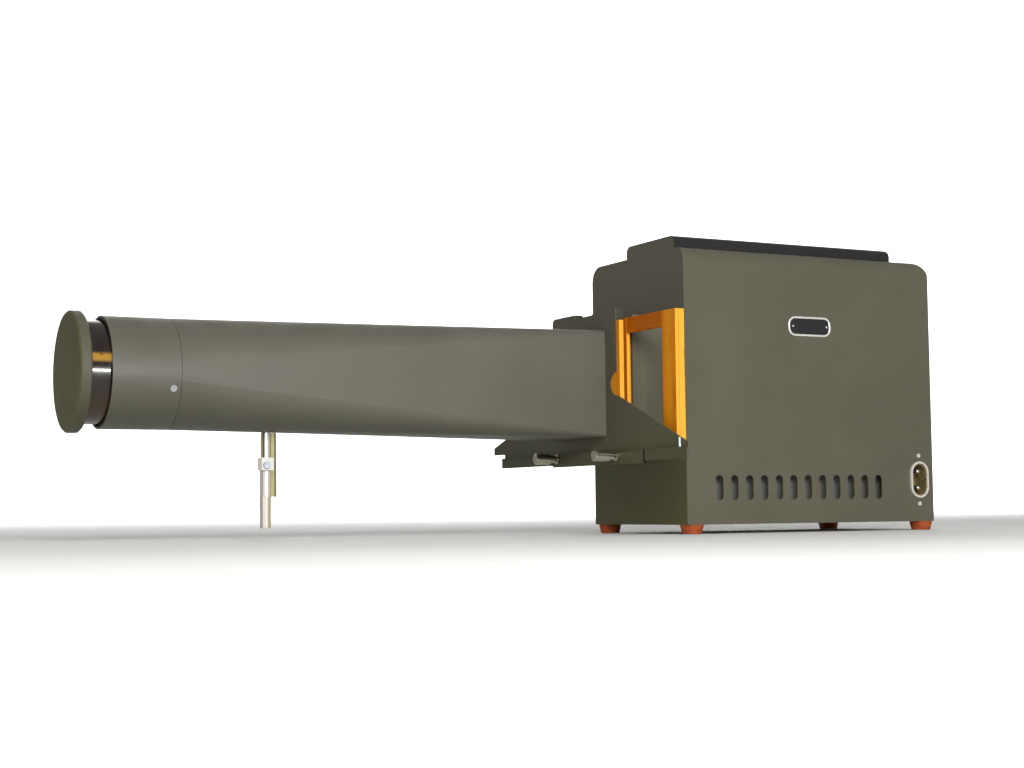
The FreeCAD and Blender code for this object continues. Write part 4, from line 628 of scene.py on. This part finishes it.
def badge_plate():
    """Blank oval badge: bright raised rim around a dark enamelled field, held by two domed rivets."""
    low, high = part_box("badge")
    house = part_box("lamp_house_shell")[0].y
    centre = middle("badge")
    half_length = (high.x - low.x) / 2
    half_tall = (high.z - low.z) / 2
    corner = 0.84 * half_tall
    thick = 0.0012
    field_inset = 0.0022
    rivet_inset = 0.006

    def outline(inset):
        return rounded_outline(half_length - inset, half_tall - inset, corner - inset)

    def build(shape):
        place = (centre.x, centre.z)
        rim = [(0.0, 0.0), (0.0, 0.65), (0.00035, 1.0), (0.001, 1.2), (0.0017, 1.1), (0.0021, 0.6)]
        add_layers(shape, place, [(outline(inset), house - thick * tall / 1.2) for inset, tall in rim], 0)
        field = [(outline(field_inset), house - thick * tall) for tall in (0.45, 0.56)]
        add_layers(shape, place, field, 1)
        for side in (-1, 1):
            head = (centre.x + side * (half_length - rivet_inset), centre.z)
            dome = [(0.0012, 0.3), (0.0012, 0.9), (0.00105, 1.25), (0.0007, 1.45), (0.0002, 1.52)]
            rows = [(rounded_outline(size, size, size, 4), house - thick * tall) for size, tall in dome]
            add_layers(shape, head, rows, 0)

    materials = [MATERIALS["nickel"], MATERIALS["black_enamel"]]
    return new_piece("badge_plate", build, materials, "root", ["badge"], bevel=0)


def add_turned(shape, centre, profile, steps=64):
    """A closed solid turned about an upright axis; the profile is (radius, height) from below."""
    rows = []
    for radius, height in profile:
        row = []
        for turn in (2 * math.pi * step / steps for step in range(steps)):
            spot = (centre.x + radius * math.cos(turn), centre.y + radius * math.sin(turn), height)
            row.append(shape.verts.new(spot))
        rows.append(row)
    for below, above in zip(rows, rows[1:]):
        for index in range(steps):
            following = (index + 1) % steps
            face = shape.faces.new((below[index], below[following], above[following], above[index]))
            face.smooth = True
    for row in (rows[0], rows[-1]):
        shape.faces.new(row)


def plated_rod():
    """The leg's rod with eased ends, which reaches up to just under the tube."""
    low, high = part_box("leg_rod")
    radius = (high.x - low.x) / 2 - 0.00002
    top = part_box("leg_bar")[1].z + 0.0002
    ease = 0.0003
    profile = [
        (radius - ease, low.z),
        (radius, low.z + ease),
        (radius, low.z + 2 * ease),
        (radius, top - 2 * ease),
        (radius, top - ease),
        (radius - ease, top),
    ]

    def build(shape):
        add_turned(shape, middle("leg_rod"), profile)

    return new_piece("plated_rod", build, [OWN_FINISH["leg_rod"]], "leg", ["leg_rod"], bevel=0)


def floor():
    """Pale floor that curves up into a pale wall behind the object."""
    mesh = bpy.data.meshes.new("floor")
    shape = bmesh.new()
    front, back, radius, top = -6.0, 5.0, 2.2, 7.0
    floor_left, wall_left, right = -9.0, -0.4, 9.5
    outline = [(front, 0.0), (back, 0.0)]
    outline += [
        (back + radius * math.sin(turn), radius - radius * math.cos(turn))
        for turn in (math.radians(step) for step in range(6, 91, 6))
    ]
    outline.append((back + radius, top))
    rows = []
    for y, z in outline:
        left = floor_left if y < back else wall_left
        rows.append([shape.verts.new((x, y, z)) for x in (left, right)])
    for near, far in zip(rows, rows[1:]):
        face = shape.faces.new((near[0], near[1], far[1], far[0]))
        face.smooth = True
    shape.to_mesh(mesh)
    shape.free()
    sheet = bpy.data.objects.new("floor", mesh)
    bpy.context.scene.collection.objects.link(sheet)
    look = Finish("floor paper", Roughness=0.8, Specular_IOR_Level=0.2)
    mottle = look.level(look.noise(3.0, detail=5.0), 0.3, 0.7)
    mesh.materials.append(look.finish(look.tint(mottle, (0.84, 0.84, 0.83), (0.87, 0.87, 0.86))))


def camera():
    """The view of the reference: from the lens end and the near side, close to the floor."""
    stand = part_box("end_plate")[0] + CAMERA_FROM_HOUSE
    level_part = Vector((math.sin(CAMERA_HEADING), math.cos(CAMERA_HEADING), 0.0)) * math.cos(CAMERA_TILT)
    ahead = level_part + Vector((0.0, 0.0, math.sin(CAMERA_TILT)))
    lens = bpy.data.cameras.new("camera")
    lens.sensor_width = 36.0
    lens.lens = 60.9
    lens.clip_end = 60.0
    eye = bpy.data.objects.new("camera", lens)
    level = ahead.to_track_quat("-Z", "Y").to_matrix()
    turned = level @ Matrix.Rotation(CAMERA_ROLL, 3, "Z")
    eye.matrix_world = Matrix.Translation(stand) @ turned.to_4x4()
    bpy.context.scene.collection.objects.link(eye)
    bpy.context.scene.camera = eye


def area_light(name, place, target, size, power, colour=(1.0, 1.0, 1.0)):
    lamp = bpy.data.lights.new(name, "AREA")
    lamp.shape = "RECTANGLE"
    lamp.size, lamp.size_y = size
    lamp.energy = power
    lamp.color = colour
    holder = bpy.data.objects.new(name, lamp)
    aim = Vector(target) - Vector(place)
    holder.matrix_world = Matrix.Translation(place) @ aim.to_track_quat("-Z", "Y").to_matrix().to_4x4()
    bpy.context.scene.collection.objects.link(holder)


def lighting():
    """Soft studio light: a key above the camera, a small low front lamp and a lit wall."""
    world = bpy.data.worlds.new("surround")
    world.use_nodes = True
    background = world.node_tree.nodes["Background"]
    background.inputs["Color"].default_value = (1.0, 1.0, 1.0, 1.0)
    background.inputs["Strength"].default_value = 0.32
    bpy.context.scene.world = world
    low, high = (Vector(corner) for corner in CAD_BOX)
    centre = (low + high) / 2
    warm = (1.0, 0.985, 0.95)
    area_light("key", (-0.85, -2.35, 1.0), centre, size=(1.0, 0.8), power=52.0, colour=warm)
    area_light("front lamp", (-0.06, -1.9, 0.18), centre, size=(0.16, 0.10), power=8.5, colour=warm)
    for side, x in (("left", 2.2), ("right", 6.4)):
        on_wall = (x + 0.2, 7.2, 1.6)
        area_light(f"wall {side}", (x, 3.0, 4.2), on_wall, size=(3.5, 1.2), power=330.0)
    bpy.context.scene.view_settings.view_transform = "Standard"


camera()
lighting()
floor()
dress_nodes()
wooden_frame("changer_front_wood", "changer_front_frame", "slide_changer")
wooden_frame("changer_back_wood", "changer_back_frame", "slide_changer")
wooden_frame("guide_wood", "changer_guide", "root")
badge_plate()
plated_rod()
